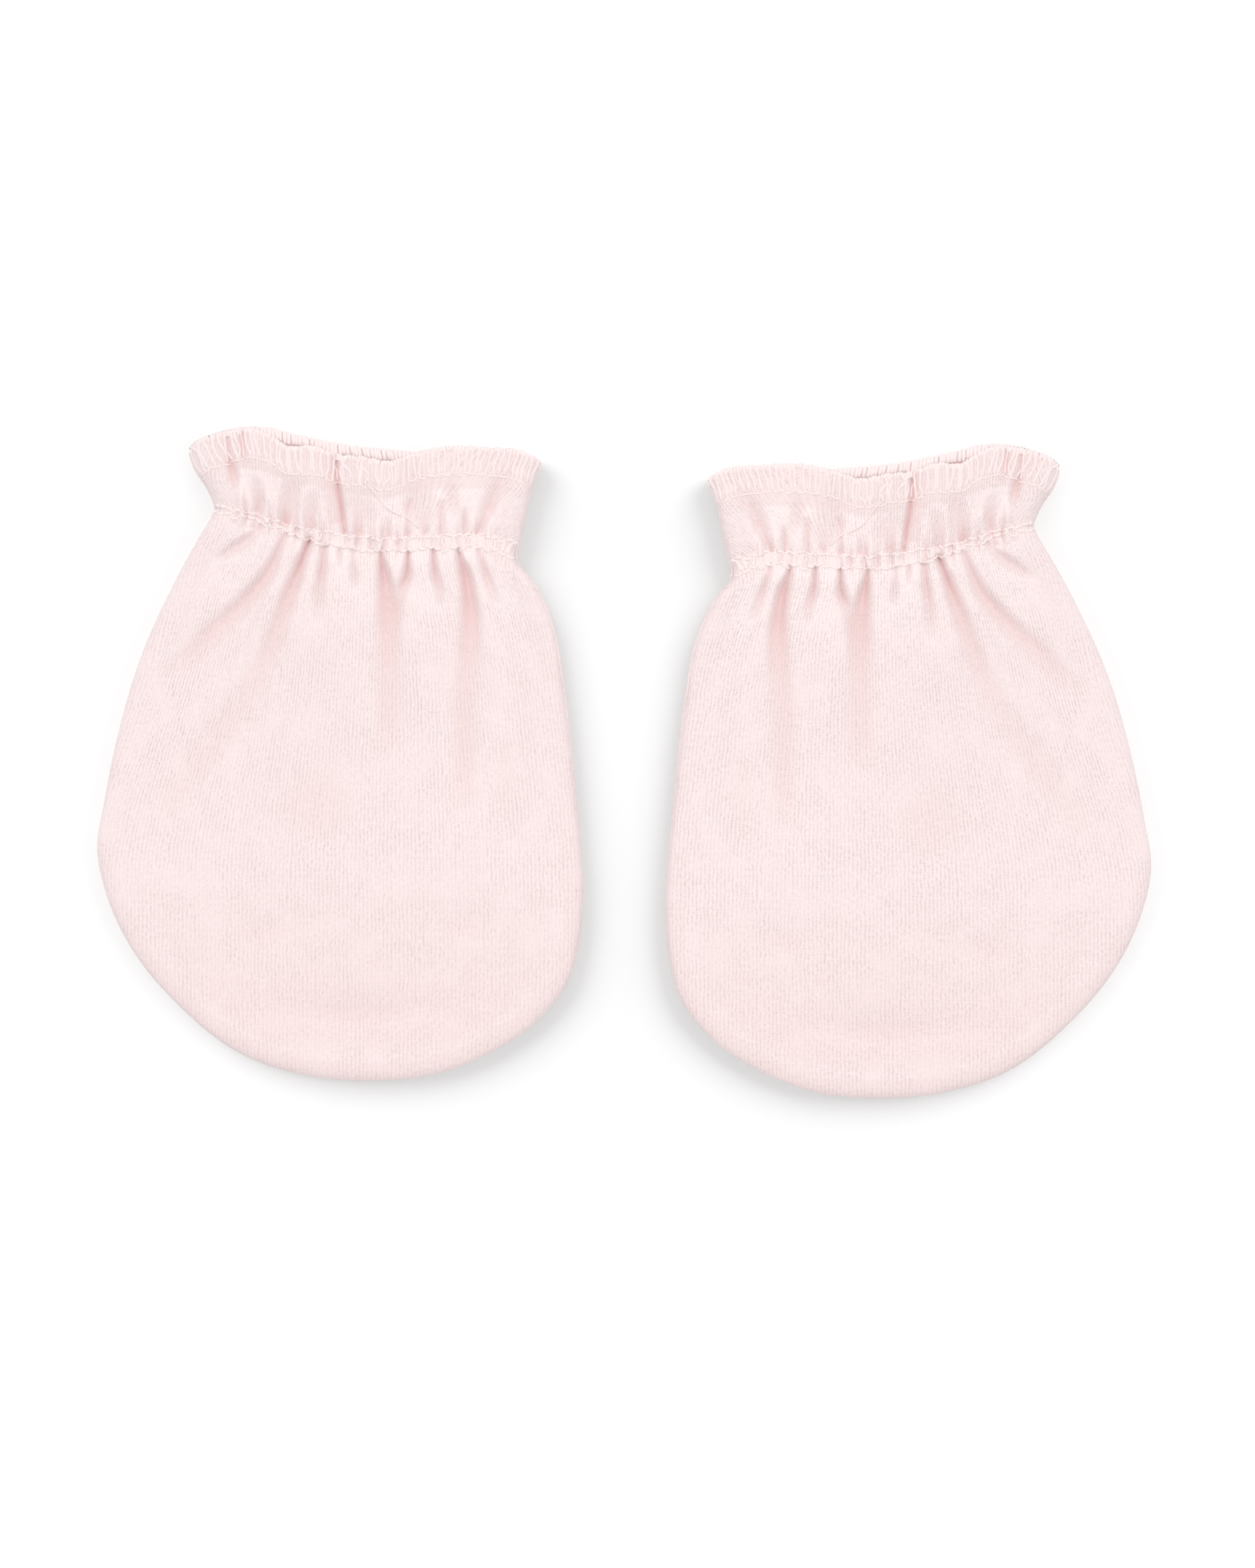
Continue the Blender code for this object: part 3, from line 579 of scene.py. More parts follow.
# Where each point lies in the flat cut: along a row by its true length from the middle column, averaged
# over the rows near it and drawn together towards the wrist, more on the outer side, with a lean to the
# inner side above the wrist. Over a rounded side it lies straight out from the side's foot by its true
# length.
def flatCut(outer, rollColumns):
    middle = outer[:, rollColumns:-rollColumns]
    step = np.linalg.norm(np.diff(middle, axis=1), axis=-1)
    centre = middle.shape[1] // 2
    length = np.concatenate([np.zeros((len(step), 1)), np.cumsum(step, axis=1)], axis=1)
    length -= length[:, centre : centre + 1]
    excess = length - (middle[..., 0] - middle[:, centre : centre + 1, 0])
    rows = knitLie["smoothRows"]
    for _ in range(knitLie["smoothTimes"]):
        total = np.cumsum(np.pad(excess, ((rows // 2, rows // 2), (0, 0)), mode="edge"), axis=0)
        excess = (total[rows:] - total[:-rows]) / rows
    flat = middle[..., :2].copy()
    outwards = smoothStep(0.0, -knitLie["outerReach"], flat[..., 0] - knitLie["axis"])
    drawn = knitLie["gathered"] - 1 + knitLie["outer"] * outwards
    gathered = 1 + drawn * smoothStep(knitLie["from"], knitLie["to"], flat[..., 1])
    leaning = smoothStep(*knitLie["leanFrom"], flat[..., 0])
    leaning = leaning * np.maximum(aboveWrist(flat[..., 0], flat[..., 1]), 0.0)
    flat[..., 0] = knitLie["axis"] + (flat[..., 0] + excess - knitLie["axis"]) * gathered
    flat[..., 0] -= knitLie["lean"] * leaning
    sides = []
    rounded = (outer[:, rollColumns::-1], outer[:, -rollColumns - 1 :])
    for stations, foot in zip(rounded, (flat[:, 0], flat[:, -1])):
        reach = np.cumsum(np.linalg.norm(np.diff(stations, axis=1), axis=-1), axis=1)
        out = unit(stations[:, -1, :2] - stations[:, 0, :2])
        sides.append(foot[:, None] + out[:, None] * reach[..., None])
    return np.concatenate([sides[0][:, ::-1], flat, sides[1]], axis=1)


# Writes a mesh from points in millimetres and groups of faces, one array of vertex numbers for each size
# of face. uv and mask hold a value for each point.
def writeMesh(name, points, faceGroups, material, uv, mask=None):
    used, numbers = np.unique(np.concatenate([g.ravel() for g in faceGroups]), return_inverse=True)
    counts = np.concatenate([np.full(len(g), g.shape[1]) for g in faceGroups])
    mesh = bpy.data.meshes.new(name)
    mesh.vertices.add(len(used))
    mesh.vertices.foreach_set("co", (points[used] * mm).astype(np.float32).ravel())
    mesh.loops.add(len(numbers))
    mesh.loops.foreach_set("vertex_index", numbers.astype(np.int32).ravel())
    mesh.polygons.add(len(counts))
    mesh.polygons.foreach_set("loop_start", np.concatenate([[0], np.cumsum(counts)[:-1]]).astype(np.int32))
    layer = mesh.uv_layers.new(name="flatCut")
    layer.data.foreach_set("uv", (uv[used][numbers] * mm).astype(np.float32).ravel())
    if mask is not None:
        attribute = mesh.attributes.new("fold", "FLOAT", "POINT")
        attribute.data.foreach_set("value", mask[used].astype(np.float32))
    mesh.update(calc_edges=True)
    mesh.validate()
    mesh.shade_smooth()
    mesh.materials.append(material)
    piece = bpy.data.objects.new(name, mesh)
    bpy.context.scene.collection.objects.link(piece)
    return piece


# The vertex numbers of a panel's grid. At the fingertips both sides of the first row are one line, and its
# middle is one point.
def gridNumbers(rows, columns, rollColumns, first):
    numbers = first + np.arange(rows * columns).reshape(rows, columns)
    numbers[0, rollColumns:-rollColumns] = numbers[0, rollColumns]
    numbers[0, -rollColumns:] = numbers[0, rollColumns - 1 :: -1]
    return numbers


# The four-sided faces of a panel's grid, and the three-sided ones round its one point at the fingertips.
def gridFaces(numbers, rollColumns):
    quads = np.stack([numbers[:-1, :-1], numbers[:-1, 1:], numbers[1:, 1:], numbers[1:, :-1]], axis=-1)
    fan = quads[0, rollColumns:-rollColumns][:, [0, 2, 3]]
    rest = np.concatenate([quads[0, :rollColumns], quads[0, -rollColumns:], quads[1:].reshape(-1, 4)])
    return rest, fan


# The closed shell of a panel: a fine outer surface, an inner one of every few points, and a rim between.
# Its mask is the painted shade on the outer surface, how deep in a fold it counts as, from -1 to 1, with a
# painted highlight below 0, and on the inner one 2 and more, a painted glow by how much light comes
# through to it near the mouth.
def buildPanel(name, panel, place, mirror, material):
    few = np.s_[::innerStep, ::innerStep]
    outer, inner = panel["outer"], panel["inner"][few]
    rollColumns = panel["rollColumns"]
    fine = gridNumbers(*outer.shape[:2], rollColumns, 0)
    coarse = gridNumbers(*inner.shape[:2], rollColumns // innerStep, fine.size)
    fineQuads, fineFan = gridFaces(fine, rollColumns)
    coarseQuads, coarseFan = gridFaces(coarse, rollColumns // innerStep)
    rims = [np.concatenate([n[:, -1], n[-1, -2::-1], n[-2::-1, 0]]) for n in (fine, coarse)]
    stretch = np.arange(0, len(rims[0]) - 1, innerStep)[:, None] + np.arange(innerStep + 1)[None, :]
    inside = np.stack([rims[1][1:], rims[1][:-1]], axis=1)
    rim = np.concatenate([rims[0][stretch], inside], axis=1)
    groups = [fineQuads, coarseQuads[:, ::-1], rim[:, ::-1], np.concatenate([fineFan, coarseFan[:, ::-1]])]
    facesUp = panel["side"] == "front"
    if facesUp != (mirror > 0):
        groups = [g[:, ::-1] for g in groups]
    points = np.concatenate([outer.reshape(-1, 3), inner.reshape(-1, 3)])
    flat = np.concatenate([part.reshape(-1, 2) for part in (panel["flat"], panel["flat"][few])])
    # Painted shade and highlight of the outer surface.
    fold = np.clip(panel["fold"].ravel() / paintedShading["depth"], -1.0, 1.0)
    # Painted glow of the inner surface, strongest near the mouth.
    fromMouth = outer[-1, ::innerStep, 1] - inner[..., 1]
    glow = 2.0 + paintedShading["glow"] * smoothStep(paintedShading["glowReach"], 0.0, fromMouth)
    mask = np.concatenate([fold, glow.ravel()])
    return writeMesh(name, points * (mirror, 1, 1) + place, groups, material, flat, mask)


# Directions square to a panel's grid, upwards: the cross product of its steps along and up.
def gridNormals(outer):
    return unit(np.cross(np.gradient(outer, axis=1), np.gradient(outer, axis=0)))


# Where threads lie on a panel, and the direction outwards there. A place is a distance along a row of the
# grid and a distance up from it along the columns. Past the last row it carries on straight over the edge.
def sewingPlaces(panel, row, along, up):
    outer = panel["outer"]
    columns = np.arange(outer.shape[1])
    column = np.interp(along, reachAlong(outer[row]), columns)
    low = np.minimum(column.astype(int), len(columns) - 2)
    part = (column - low)[:, None]
    steps = np.linalg.norm(np.diff(outer, axis=0), axis=-1)
    down = np.concatenate([np.zeros((1, len(columns))), np.cumsum(steps, axis=0)])
    here = down[:, low] * (1 - part[:, 0]) + down[:, low + 1] * part[:, 0]
    wanted = here[row] + up
    past = np.maximum(wanted - here[-1], 0.0)[:, None]
    wanted = np.minimum(wanted, here[-1])
    index = np.clip((here < wanted).sum(axis=0) - 1, 0, len(outer) - 2)
    pick = np.arange(len(along))
    span = np.maximum(here[index + 1, pick] - here[index, pick], 1e-9)
    share = np.clip((wanted - here[index, pick]) / span, 0.0, 1.0)[:, None]

    def blend(field):
        lower = field[index, low] * (1 - part) + field[index, low + 1] * part
        upper = field[index + 1, low] * (1 - part) + field[index + 1, low + 1] * part
        return lower * (1 - share) + upper * share

    outwards = 1.0 if panel["side"] == "front" else -1.0
    return blend(outer) + past * (0.0, 0.0, -outwards), unit(blend(outwards * gridNormals(outer)))


# A tube of six sides along each of several lines of points, closed at each end by two four-sided faces.
def tubes(lines, radius):
    turn = np.linspace(0, 2 * np.pi, 6, endpoint=False)[:, None]
    points, faces, first = [], [], 0
    for line in lines:
        ahead = unit(np.gradient(line, axis=0))
        across = unit(np.cross(ahead, (0.31, 0.17, 0.93)))
        rise = np.cross(across, ahead)
        ring = np.cos(turn) * across[:, None] + np.sin(turn) * rise[:, None]
        points.append((line[:, None] + radius * ring).reshape(-1, 3))
        numbers = first + np.arange(len(line) * len(turn)).reshape(len(line), len(turn))
        after = np.roll(numbers, -1, axis=1)
        faces.append(np.stack([numbers[:-1], after[:-1], after[1:], numbers[1:]], axis=-1).reshape(-1, 4))
        for end, order in ((numbers[0], 1), (numbers[-1], -1)):
            faces.append(np.stack([end[[3, 2, 1, 0]], end[[5, 4, 3, 0]]])[:, ::order])
        first += numbers.size
    return np.concatenate(points), np.concatenate(faces)


overlock = {
    "depth": 4.7,            # from the cut edge to the needle line
    "earDepth": 0.6,         # and this much more at the ear of the outer end, between these lengths along
    "ear": (14.0, 9.0),
    "pitch": 2.05,
    "thread": 0.24,
    "lift": -0.09,
    "clear": 1.5,            # the loops end this far before the seams
    "wrapClear": 1.23,       # and the wraps' own ends this far
    "wrapPoints": 13,
    "wrapUneven": 0.08,      # the spread of their places as a share of their spacing
    "wrapSwell": (0.88, 1.15),    # they stand out by shares of their path between these
    # Spacing, radius and slant of the wraps over the edge, and their path: outwards from the rim, upwards
    "front": {
        "nub": 0.54, "rope": 0.3, "slant": 0.5,
        "wrap": ((-0.7, -0.4), (-0.15, -0.4), (0.06, -0.12), (0.03, 0.15), (-0.25, 0.32), (-0.75, 0.36)),
    },
    "back": {
        "nub": 0.66, "rope": 0.37, "slant": 0.7,
        "wrap": (
            (-0.5, -0.3), (0.0, -0.35), (0.3, 0.0), (0.15, 0.4), (-0.4, 0.6), (-1.0, 0.5), (-1.25, 0.35),
        ),
    },
}
# How the looper's loops lie from the outer end of the edge to its inner end: share of its length, lean,
# share of the pitch that they are wide, tangle
loopLie = (
    (0.0, -0.5, 0.6, 0.2), (0.05, -1.0, 0.7, 0.3), (0.13, 0.0, 0.6, 0.1), (0.42, 0.1, 0.65, 0.1),
    (0.47, 0.3, 0.55, 0.9), (0.58, -0.6, 0.5, 0.9), (0.62, -1.0, 0.48, 0.1), (0.8, -0.9, 0.48, 0.0),
    (1.0, -0.4, 0.46, 0.0),
)
# One loop: side of its middle, height as a share of the depth, share of its width, rise above the lift
loopPlaces = (
    (-1, 0.0, 0.8, -0.2), (-1, 0.1, 0.9, -0.02), (-1, 0.35, 1.0, 0.0), (-1, 0.7, 1.0, 0.02),
    (-1, 0.92, 0.8, 0.03), (0, 1.04, 0.0, 0.03), (1, 0.92, 0.8, 0.05), (1, 0.7, 1.0, 0.05),
    (1, 0.35, 1.0, 0.02), (1, 0.1, 0.9, -0.02), (1, 0.0, 0.8, -0.2),
)
# How unevenly the loops lie, each value a spread, and how many times as much more where they are tangled
loopUneven = {
    "place": 0.12,
    "depth": 0.1,
    "wide": (0.75, 1.2),
    "lean": 0.2,
    "leanTangled": 3,
    "bend": 0.1,
    "bendTangled": 4,
    "bendFrom": 0.7,    # only where the loop has more than this share of its width
}


# Height of the needle line over the cut edge's row. It lies below it, and lower at the ear of the outer end.
def needleHeight(along):
    return -overlock["depth"] - overlock["earDepth"] * smoothStep(*overlock["ear"], along)


# Evenly spread places along a line, each moved a little.
def spreadPlaces(length, count, uneven, random):
    return (np.arange(count) + 0.5) * length / count + random.normal(0, uneven, count)


# The looper thread: a chain of upright loops. Each rises from the needle line, leans, wraps over the cut
# edge and comes back down beside itself. Returns its points and the places where it enters the cloth.
def looperThread(panel, random):
    row = len(panel["outer"]) - 1
    length = lineLength(panel["outer"][row])
    count = int(length / overlock["pitch"])
    base = spreadPlaces(length, count, loopUneven["place"], random)
    table = np.array(loopLie)
    lean, wide, tangle = (np.interp(base / length, table[:, 0], column) for column in table[:, 1:].T)
    lean = lean + random.normal(0, loopUneven["lean"], count) * (1 + loopUneven["leanTangled"] * tangle)
    wide = overlock["pitch"] * wide * random.uniform(*loopUneven["wide"], count)
    deep = -needleHeight(base) + random.normal(0, loopUneven["depth"], count)
    beside, high, share, lift = (column[None, :] for column in np.array(loopPlaces).T)
    bend = random.normal(0, loopUneven["bend"], (count, len(loopPlaces)))
    bend = bend * (1 + loopUneven["bendTangled"] * tangle[:, None]) * (share > loopUneven["bendFrom"])
    along = base[:, None] + lean[:, None] * high + beside * 0.5 * wide[:, None] * share + bend
    up = (high - 1) * deep[:, None]
    lift = lift + overlock["lift"] + 0 * along
    smooth = smoothCurve(np.stack([along.ravel(), up.ravel(), lift.ravel()], axis=1), 4)
    within = np.clip(smooth[:, 0], overlock["clear"], length - overlock["clear"])
    at, normal = sewingPlaces(panel, row, within, smooth[:, 1])
    return at + normal * smooth[:, 2:], (along[:, [0, -1]].ravel(), up[:, [0, -1]].ravel())


# Painted shade: short dark tubes stand for the shade in the needle holes.
holes = {
    "radius": 0.2,
    "proud": 0.03,      # how far they stand out of the cloth
    "above": 0.2,       # how far above the thread's end they start
    "length": 0.4,
    "clear": 3.0,       # they end this far before the seams
    "shade": (0.76, 0.42, 0.40, 1.0),
}


# Painted shade in the slots where a needle thread goes in: short dark upright tubes sunk in the cloth but
# for their tops.
def needleHoleShade(panel, row, along, up):
    clear = (along > holes["clear"]) & (along < lineLength(panel["outer"][row]) - holes["clear"])
    ends = []
    for above in (holes["above"], holes["above"] + holes["length"]):
        at, normal = sewingPlaces(panel, row, along[clear], up[clear] + above)
        ends.append(at + (holes["proud"] - holes["radius"]) * normal)
    return list(np.stack(ends, axis=1))


# One stitch of the needle thread: share of its length, rise above the lift
stitchPlaces = ((0.0, -0.35), (0.12, 0.0), (0.5, 0.04), (0.88, 0.0), (1.0, -0.35))
stitchLie = {
    "start": 0.2,         # where the first one starts and the spread of their ends, both in stitches
    "uneven": 0.1,
    "sag": (0.4, 1.5),    # each sags by a share between these
    "clear": 1.0,         # they end this far before the seams
}


# The needle thread: a row of short stitches, each a low arc that dives into the cloth at both ends. Their
# line runs at a height above a row of the grid, and each stitch sags from it by a sine or slants a little.
def needleThread(panel, row, up, stitch, random):
    length = lineLength(panel["outer"][row])
    count = int(length / stitch["pitch"])
    start, clear = stitchLie["start"], stitchLie["clear"]
    ends = (np.arange(count + 1) + start) * length / (count + 1 + start)
    ends = ends + random.normal(0, stitchLie["uneven"] * stitch["pitch"], count + 1)
    shares, lifts = np.array(stitchPlaces).T
    along = ends[:-1, None] + (ends[1:] - ends[:-1])[:, None] * shares
    sag = stitch["sag"] * random.uniform(*stitchLie["sag"], (count, 1)) * np.sin(np.pi * shares)
    slant = random.normal(0, stitch["uneven"], (count, 2))
    rise = up(along) + sag + slant[:, :1] * (1 - shares) + slant[:, 1:] * shares
    lifts = np.tile(stitch["lift"] + lifts, count)
    smooth = smoothCurve(np.stack([along.ravel(), rise.ravel(), lifts], axis=1), 4)
    smooth = smooth[(smooth[:, 0] > clear) & (smooth[:, 0] < length - clear)]
    at, normal = sewingPlaces(panel, row, smooth[:, 0], smooth[:, 1])
    return at + normal * smooth[:, 2:], (along[:, 0], rise[:, 0])


# The wraps over the cut edge: short slanting arcs close together, as on a rope. Each follows its path round
# the rim's middle, in the upright plane square to the edge, while it runs along the edge by its slant.
def wrapLines(panel, random):
    side = overlock[panel["side"]]
    edge, inside = panel["outer"][-1], panel["inner"][-1]
    length = lineLength(edge)
    base = spreadPlaces(length, int(length / side["nub"]), overlock["wrapUneven"] * side["nub"], random)
    halfSlant = side["nub"] * side["slant"]
    clear = overlock["wrapClear"] + halfSlant
    base = base[(base > clear) & (base < length - clear)]
    share = np.linspace(-1.0, 1.0, overlock["wrapPoints"])
    along = base[:, None] + halfSlant * share
    line = 0.5 * (edge + inside)
    ahead = np.gradient(line, axis=0)
    out = unit(np.stack([-ahead[:, 1], ahead[:, 0]], axis=1))
    at, out = valuesAt(along, reachAlong(edge), line), unit(valuesAt(along, reachAlong(edge), out))
    outwards, upwards = pointsAlong(smoothCurve(side["wrap"], 4), (share + 1) / 2).T
    swollen = random.uniform(*overlock["wrapSwell"], (len(base), 1))
    at[..., :2] += out * (outwards * swollen)[..., None]
    at[..., 2] += upwards * swollen
    return at


# One piece of sewing, from groups of lines that each have their thread's radius.
def addThreads(name, groups, place, mirror, material):
    points, faces, first = [], [], 0
    for lines, radius in groups:
        ring, quads = tubes(lines, radius)
        points.append(ring)
        faces.append(quads + first)
        first += len(ring)
    points, faces = np.concatenate(points), np.concatenate(faces)
    if mirror > 0:
        faces = faces[:, ::-1]
    return writeMesh(name, points * (mirror, 1, 1) + place, [faces], material, points[:, :2])


wrist = {
    "upper": {"pitch": 1.3, "sag": 0.1, "uneven": 0.25, "lift": -0.1},
    "lower": {"pitch": 1.6, "sag": -0.4, "uneven": 0.3, "lift": -0.06},
    "apart": 1.75,             # between the two rows
    "apartOuter": 0.7,         # the same at the outer side
    "widens": (12.0, 26.0),    # lengths along the wrist between which that changes
    "thread": 0.25,
}
# The bars and rings between the two rows
bars = {
    "pitch": 1.2,
    "uneven": 0.25,
    "share": 0.35,             # of the places, that have one
    "shareTimes": (0.7, 1.3),  # times this at the outer side and at the inner one
    "more": (0.7, 0.85),       # shares of the length between which that changes
    "clear": 2.5,              # they end this far before the seams
    "halfWidth": (0.08, 0.45),
    "lean": 0.25,
    "height": (0.85, 1.2),     # shares of the distance between the rows
    "points": 13,
    "lift": -0.1,
    "dive": 0.12,              # how much lower their top and foot lie
}
needleLine = {"pitch": 2.05, "sag": -0.2, "uneven": 0.15, "lift": -0.06, "thread": 0.15}


# The elastic's stitching: two rows of short arcs and, between them, uneven bars and rings, each a slanting
# ellipse that dives into the cloth at its top and foot by a power of a cosine.
def wristThreads(panel, random):
    row = panel["grid"]["body"]
    length = lineLength(panel["outer"][row])

    def half(along):
        wider = (wrist["apart"] - wrist["apartOuter"]) * smoothStep(*wrist["widens"], along)
        return 0.5 * (wrist["apartOuter"] + wider)

    upper, entries = needleThread(panel, row, half, wrist["upper"], random)
    lower, _ = needleThread(panel, row, lambda along: -half(along), wrist["lower"], random)
    base = spreadPlaces(length, int(length / bars["pitch"]), bars["uneven"], random)
    least, most = bars["shareTimes"]
    share = bars["share"] * (least + (most - least) * smoothStep(*bars["more"], base / length))
    base = base[random.random(len(base)) < share]
    base = base[(base > bars["clear"]) & (base < length - bars["clear"])]
    turn = np.linspace(0, 2 * np.pi, bars["points"])[None, :]
    wide = random.uniform(*bars["halfWidth"], (len(base), 1))
    lean = random.normal(0, bars["lean"], (len(base), 1))
    high = half(base)[:, None] * random.uniform(*bars["height"], (len(base), 1))
    along = base[:, None] + wide * np.sin(turn) + lean * np.cos(turn)
    up = high * np.cos(turn)
    at, normal = sewingPlaces(panel, row, along.ravel(), up.ravel())
    lift = bars["lift"] - bars["dive"] * np.cos(turn + 0 * high) ** 8
    rings = (at + normal * lift.reshape(-1, 1)).reshape(len(base), -1, 3)
    return [upper, lower] + list(rings), needleHoleShade(panel, row, *entries)


# A math node, or a chain's next link: each term is a number or another node's output.
def calc(tree, operation, *terms):
    node = tree.nodes.new("ShaderNodeMath")
    node.operation = operation
    for socket, term in zip(node.inputs, terms):
        if isinstance(term, (int, float)):
            socket.default_value = term
        else:
            tree.links.new(term, socket)
    return node.outputs[0]


def newGroup(name, inputs, outputs):
    group = bpy.data.node_groups.new(name, "ShaderNodeTree")
    for label, kind, value in inputs:
        socket = group.interface.new_socket(label, in_out="INPUT", socket_type=kind)
        if value is not None:
            socket.default_value = value
    for label, kind in outputs:
        group.interface.new_socket(label, in_out="OUTPUT", socket_type=kind)
    return group, group.nodes.new("NodeGroupInput").outputs, group.nodes.new("NodeGroupOutput").inputs


def addNoise(tree, scale, detail, vector):
    node = tree.nodes.new("ShaderNodeTexNoise")
    node.inputs["Scale"].default_value = scale
    node.inputs["Detail"].default_value = detail
    tree.links.new(vector, node.inputs["Vector"])
    return node.outputs[0]


# The knit's pattern. A scale is a noise's, on the flat cut in metres, and what has a from and a to grows
# between those values of it.
knit = {
    "detail": 2.0,
    "drift": 1.1,           # how many wales the columns wander
    "driftScale": 420.0,
    "grooveSharpness": 1.3,
    "strokes": 0.36,        # depth between strokes all over
    "grooves": 0.7,         # depth of the grooves between wales
    "strokesInGrooves": 0.7,    # the share of it that is only between strokes
    "dots": 0.9,
    "dotSharpness": 2.0,
    "patches": 0.6,         # how far patches besides the hollows are stretched
    "patchScale": 120.0,
    "patchFrom": 0.42,
    "patchTo": 0.7,
    "worn": 0.2,            # how much deeper the pattern is outside worn patches, where it is this deep
    "wornLeast": 0.75,
    "wornScale": 260.0,
    "wornFrom": 0.3,
    "wornTo": 0.6,
    "ragged": 3.2,          # contrast between stitches
    "raggedLevel": -0.5,
    "raggedScale": 1700.0,
}


# Plain jersey. The height falls by a cosine into the groove between wales, and between the strokes that
# slant down to a wale's middle as a row of Vs, most where the two meet. In hollows and other stretched
# patches it falls instead between the stitches, in dots set like the fives on dice.
def jerseyGroup():
    group, given, result = newGroup(
        "jerseyKnit",
        [
            ("Flat Cut", "NodeSocketVector", None),
            ("Wale", "NodeSocketFloat", 0.0007),
            ("Course", "NodeSocketFloat", 0.0006),
            ("Hollow", "NodeSocketFloat", 0.0),
        ],
        [("Height", "NodeSocketFloat"), ("Groove", "NodeSocketFloat")],
    )

    def math(operation, *terms):
        return calc(group, operation, *terms)

    def noise(kind):
        return addNoise(group, knit[kind + "Scale"], knit["detail"], given["Flat Cut"])

    def cosine(value):
        return math("COSINE", math("MULTIPLY", value, 2 * np.pi))

    def step(kind):
        node = group.nodes.new("ShaderNodeMapRange")
        node.interpolation_type = "SMOOTHSTEP"
        node.inputs["From Min"].default_value = knit[kind + "From"]
        node.inputs["From Max"].default_value = knit[kind + "To"]
        group.links.new(noise(kind), node.inputs["Value"])
        return node.outputs[0]

    split = group.nodes.new("ShaderNodeSeparateXYZ")
    group.links.new(given["Flat Cut"], split.inputs[0])
    drift = math("MULTIPLY", math("SUBTRACT", noise("drift"), 0.5), knit["drift"])
    wale = math("ADD", math("DIVIDE", split.outputs["X"], given["Wale"]), drift)
    course = math("ADD", math("DIVIDE", split.outputs["Y"], given["Course"]), drift)
    between = math("POWER", math("MULTIPLY_ADD", cosine(wale), 0.5, 0.5), knit["grooveSharpness"])
    column = group.nodes.new("ShaderNodeTexWhiteNoise")
    column.noise_dimensions = "1D"
    group.links.new(math("FLOOR", wale), column.inputs["W"])
    fromMiddle = math("ABSOLUTE", math("MULTIPLY_ADD", math("FRACT", wale), 2.0, -1.0))
    slant = math("ADD", fromMiddle, math("MULTIPLY_ADD", column.outputs["Value"], 0.5, course))
    gap = math("MULTIPLY_ADD", cosine(slant), -0.5, 0.5)
    inGrooves = math("MULTIPLY_ADD", gap, knit["strokesInGrooves"], 1 - knit["strokesInGrooves"])
    dashes = math("MULTIPLY", math("MULTIPLY", between, inGrooves), knit["grooves"])
    plain = math("MULTIPLY_ADD", gap, knit["strokes"], dashes)
    fives = math("MULTIPLY_ADD", math("MULTIPLY", cosine(wale), cosine(course)), 0.5, 0.5)
    dots = math("MULTIPLY", math("POWER", fives, knit["dotSharpness"]), knit["dots"])
    stretched = math("MAXIMUM", given["Hollow"], math("MULTIPLY", step("patch"), knit["patches"]))
    mix = group.nodes.new("ShaderNodeMix")
    group.links.new(stretched, mix.inputs["Factor"])
    group.links.new(plain, mix.inputs["A"])
    group.links.new(dots, mix.inputs["B"])
    worn = math("MULTIPLY_ADD", step("worn"), knit["worn"], knit["wornLeast"])
    ragged = math("MULTIPLY_ADD", noise("ragged"), knit["ragged"], knit["raggedLevel"])
    sunk = math("MULTIPLY", mix.outputs[0], math("MULTIPLY", ragged, worn))
    group.links.new(math("SUBTRACT", 1.0, sunk), result["Height"])
    group.links.new(sunk, result["Groove"])
    return group


def mixColour(tree, factor, first, second, blend="MIX"):
    node = tree.nodes.new("ShaderNodeMix")
    node.data_type = "RGBA"
    node.blend_type = blend
    tree.links.new(factor, node.inputs["Factor"])
    for label, colour in (("A", first), ("B", second)):
        socket = [s for s in node.inputs if s.name == label and s.type == "RGBA"][0]
        if isinstance(colour, tuple):
            socket.default_value = colour
        else:
            tree.links.new(colour, socket)
    return [s for s in node.outputs if s.type == "RGBA"][0]


# A material whose shader has these plain values.
def newMaterial(name, finish):
    material = bpy.data.materials.new(name)
    material.use_nodes = True
    shader = material.node_tree.nodes["Principled BSDF"]
    for label, value in finish.items():
        shader.inputs[label].default_value = value
    return material, material.node_tree, shader


def addBump(tree, shader, height, distance):
    bump = tree.nodes.new("ShaderNodeBump")
    bump.inputs["Distance"].default_value = distance
    tree.links.new(height, bump.inputs["Height"])
    tree.links.new(bump.outputs[0], shader.inputs["Normal"])


jersey = {
    "crown": (0.908, 0.784, 0.781, 1.0),
    "groove": (0.805, 0.655, 0.645, 1.0),
    "foldShade": (0.91, 0.76, 0.748, 1.0),      # painted shade: times this where the cloth is deep in a fold
    "foldShadePower": 0.9,
    "crestLight": (1.075, 1.08, 1.08, 1.0),       # painted highlight: times this on the crests between gathers
    "crestLightAt": -10.0,                        # times the mask, which gives the crests' share
    "wale": 0.00066,
    "course": 0.0005,
    "relief": 0.00005,
    "finish": {
        "Roughness": 0.92,
        "Sheen Weight": 0.25,
        "Sheen Roughness": 0.6,
        "Specular IOR Level": 0.2,
        "Emission Color": (0.21, 0.182, 0.176, 1.0),    # painted glow of the inner surface, for light that comes through the cloth
    },
}


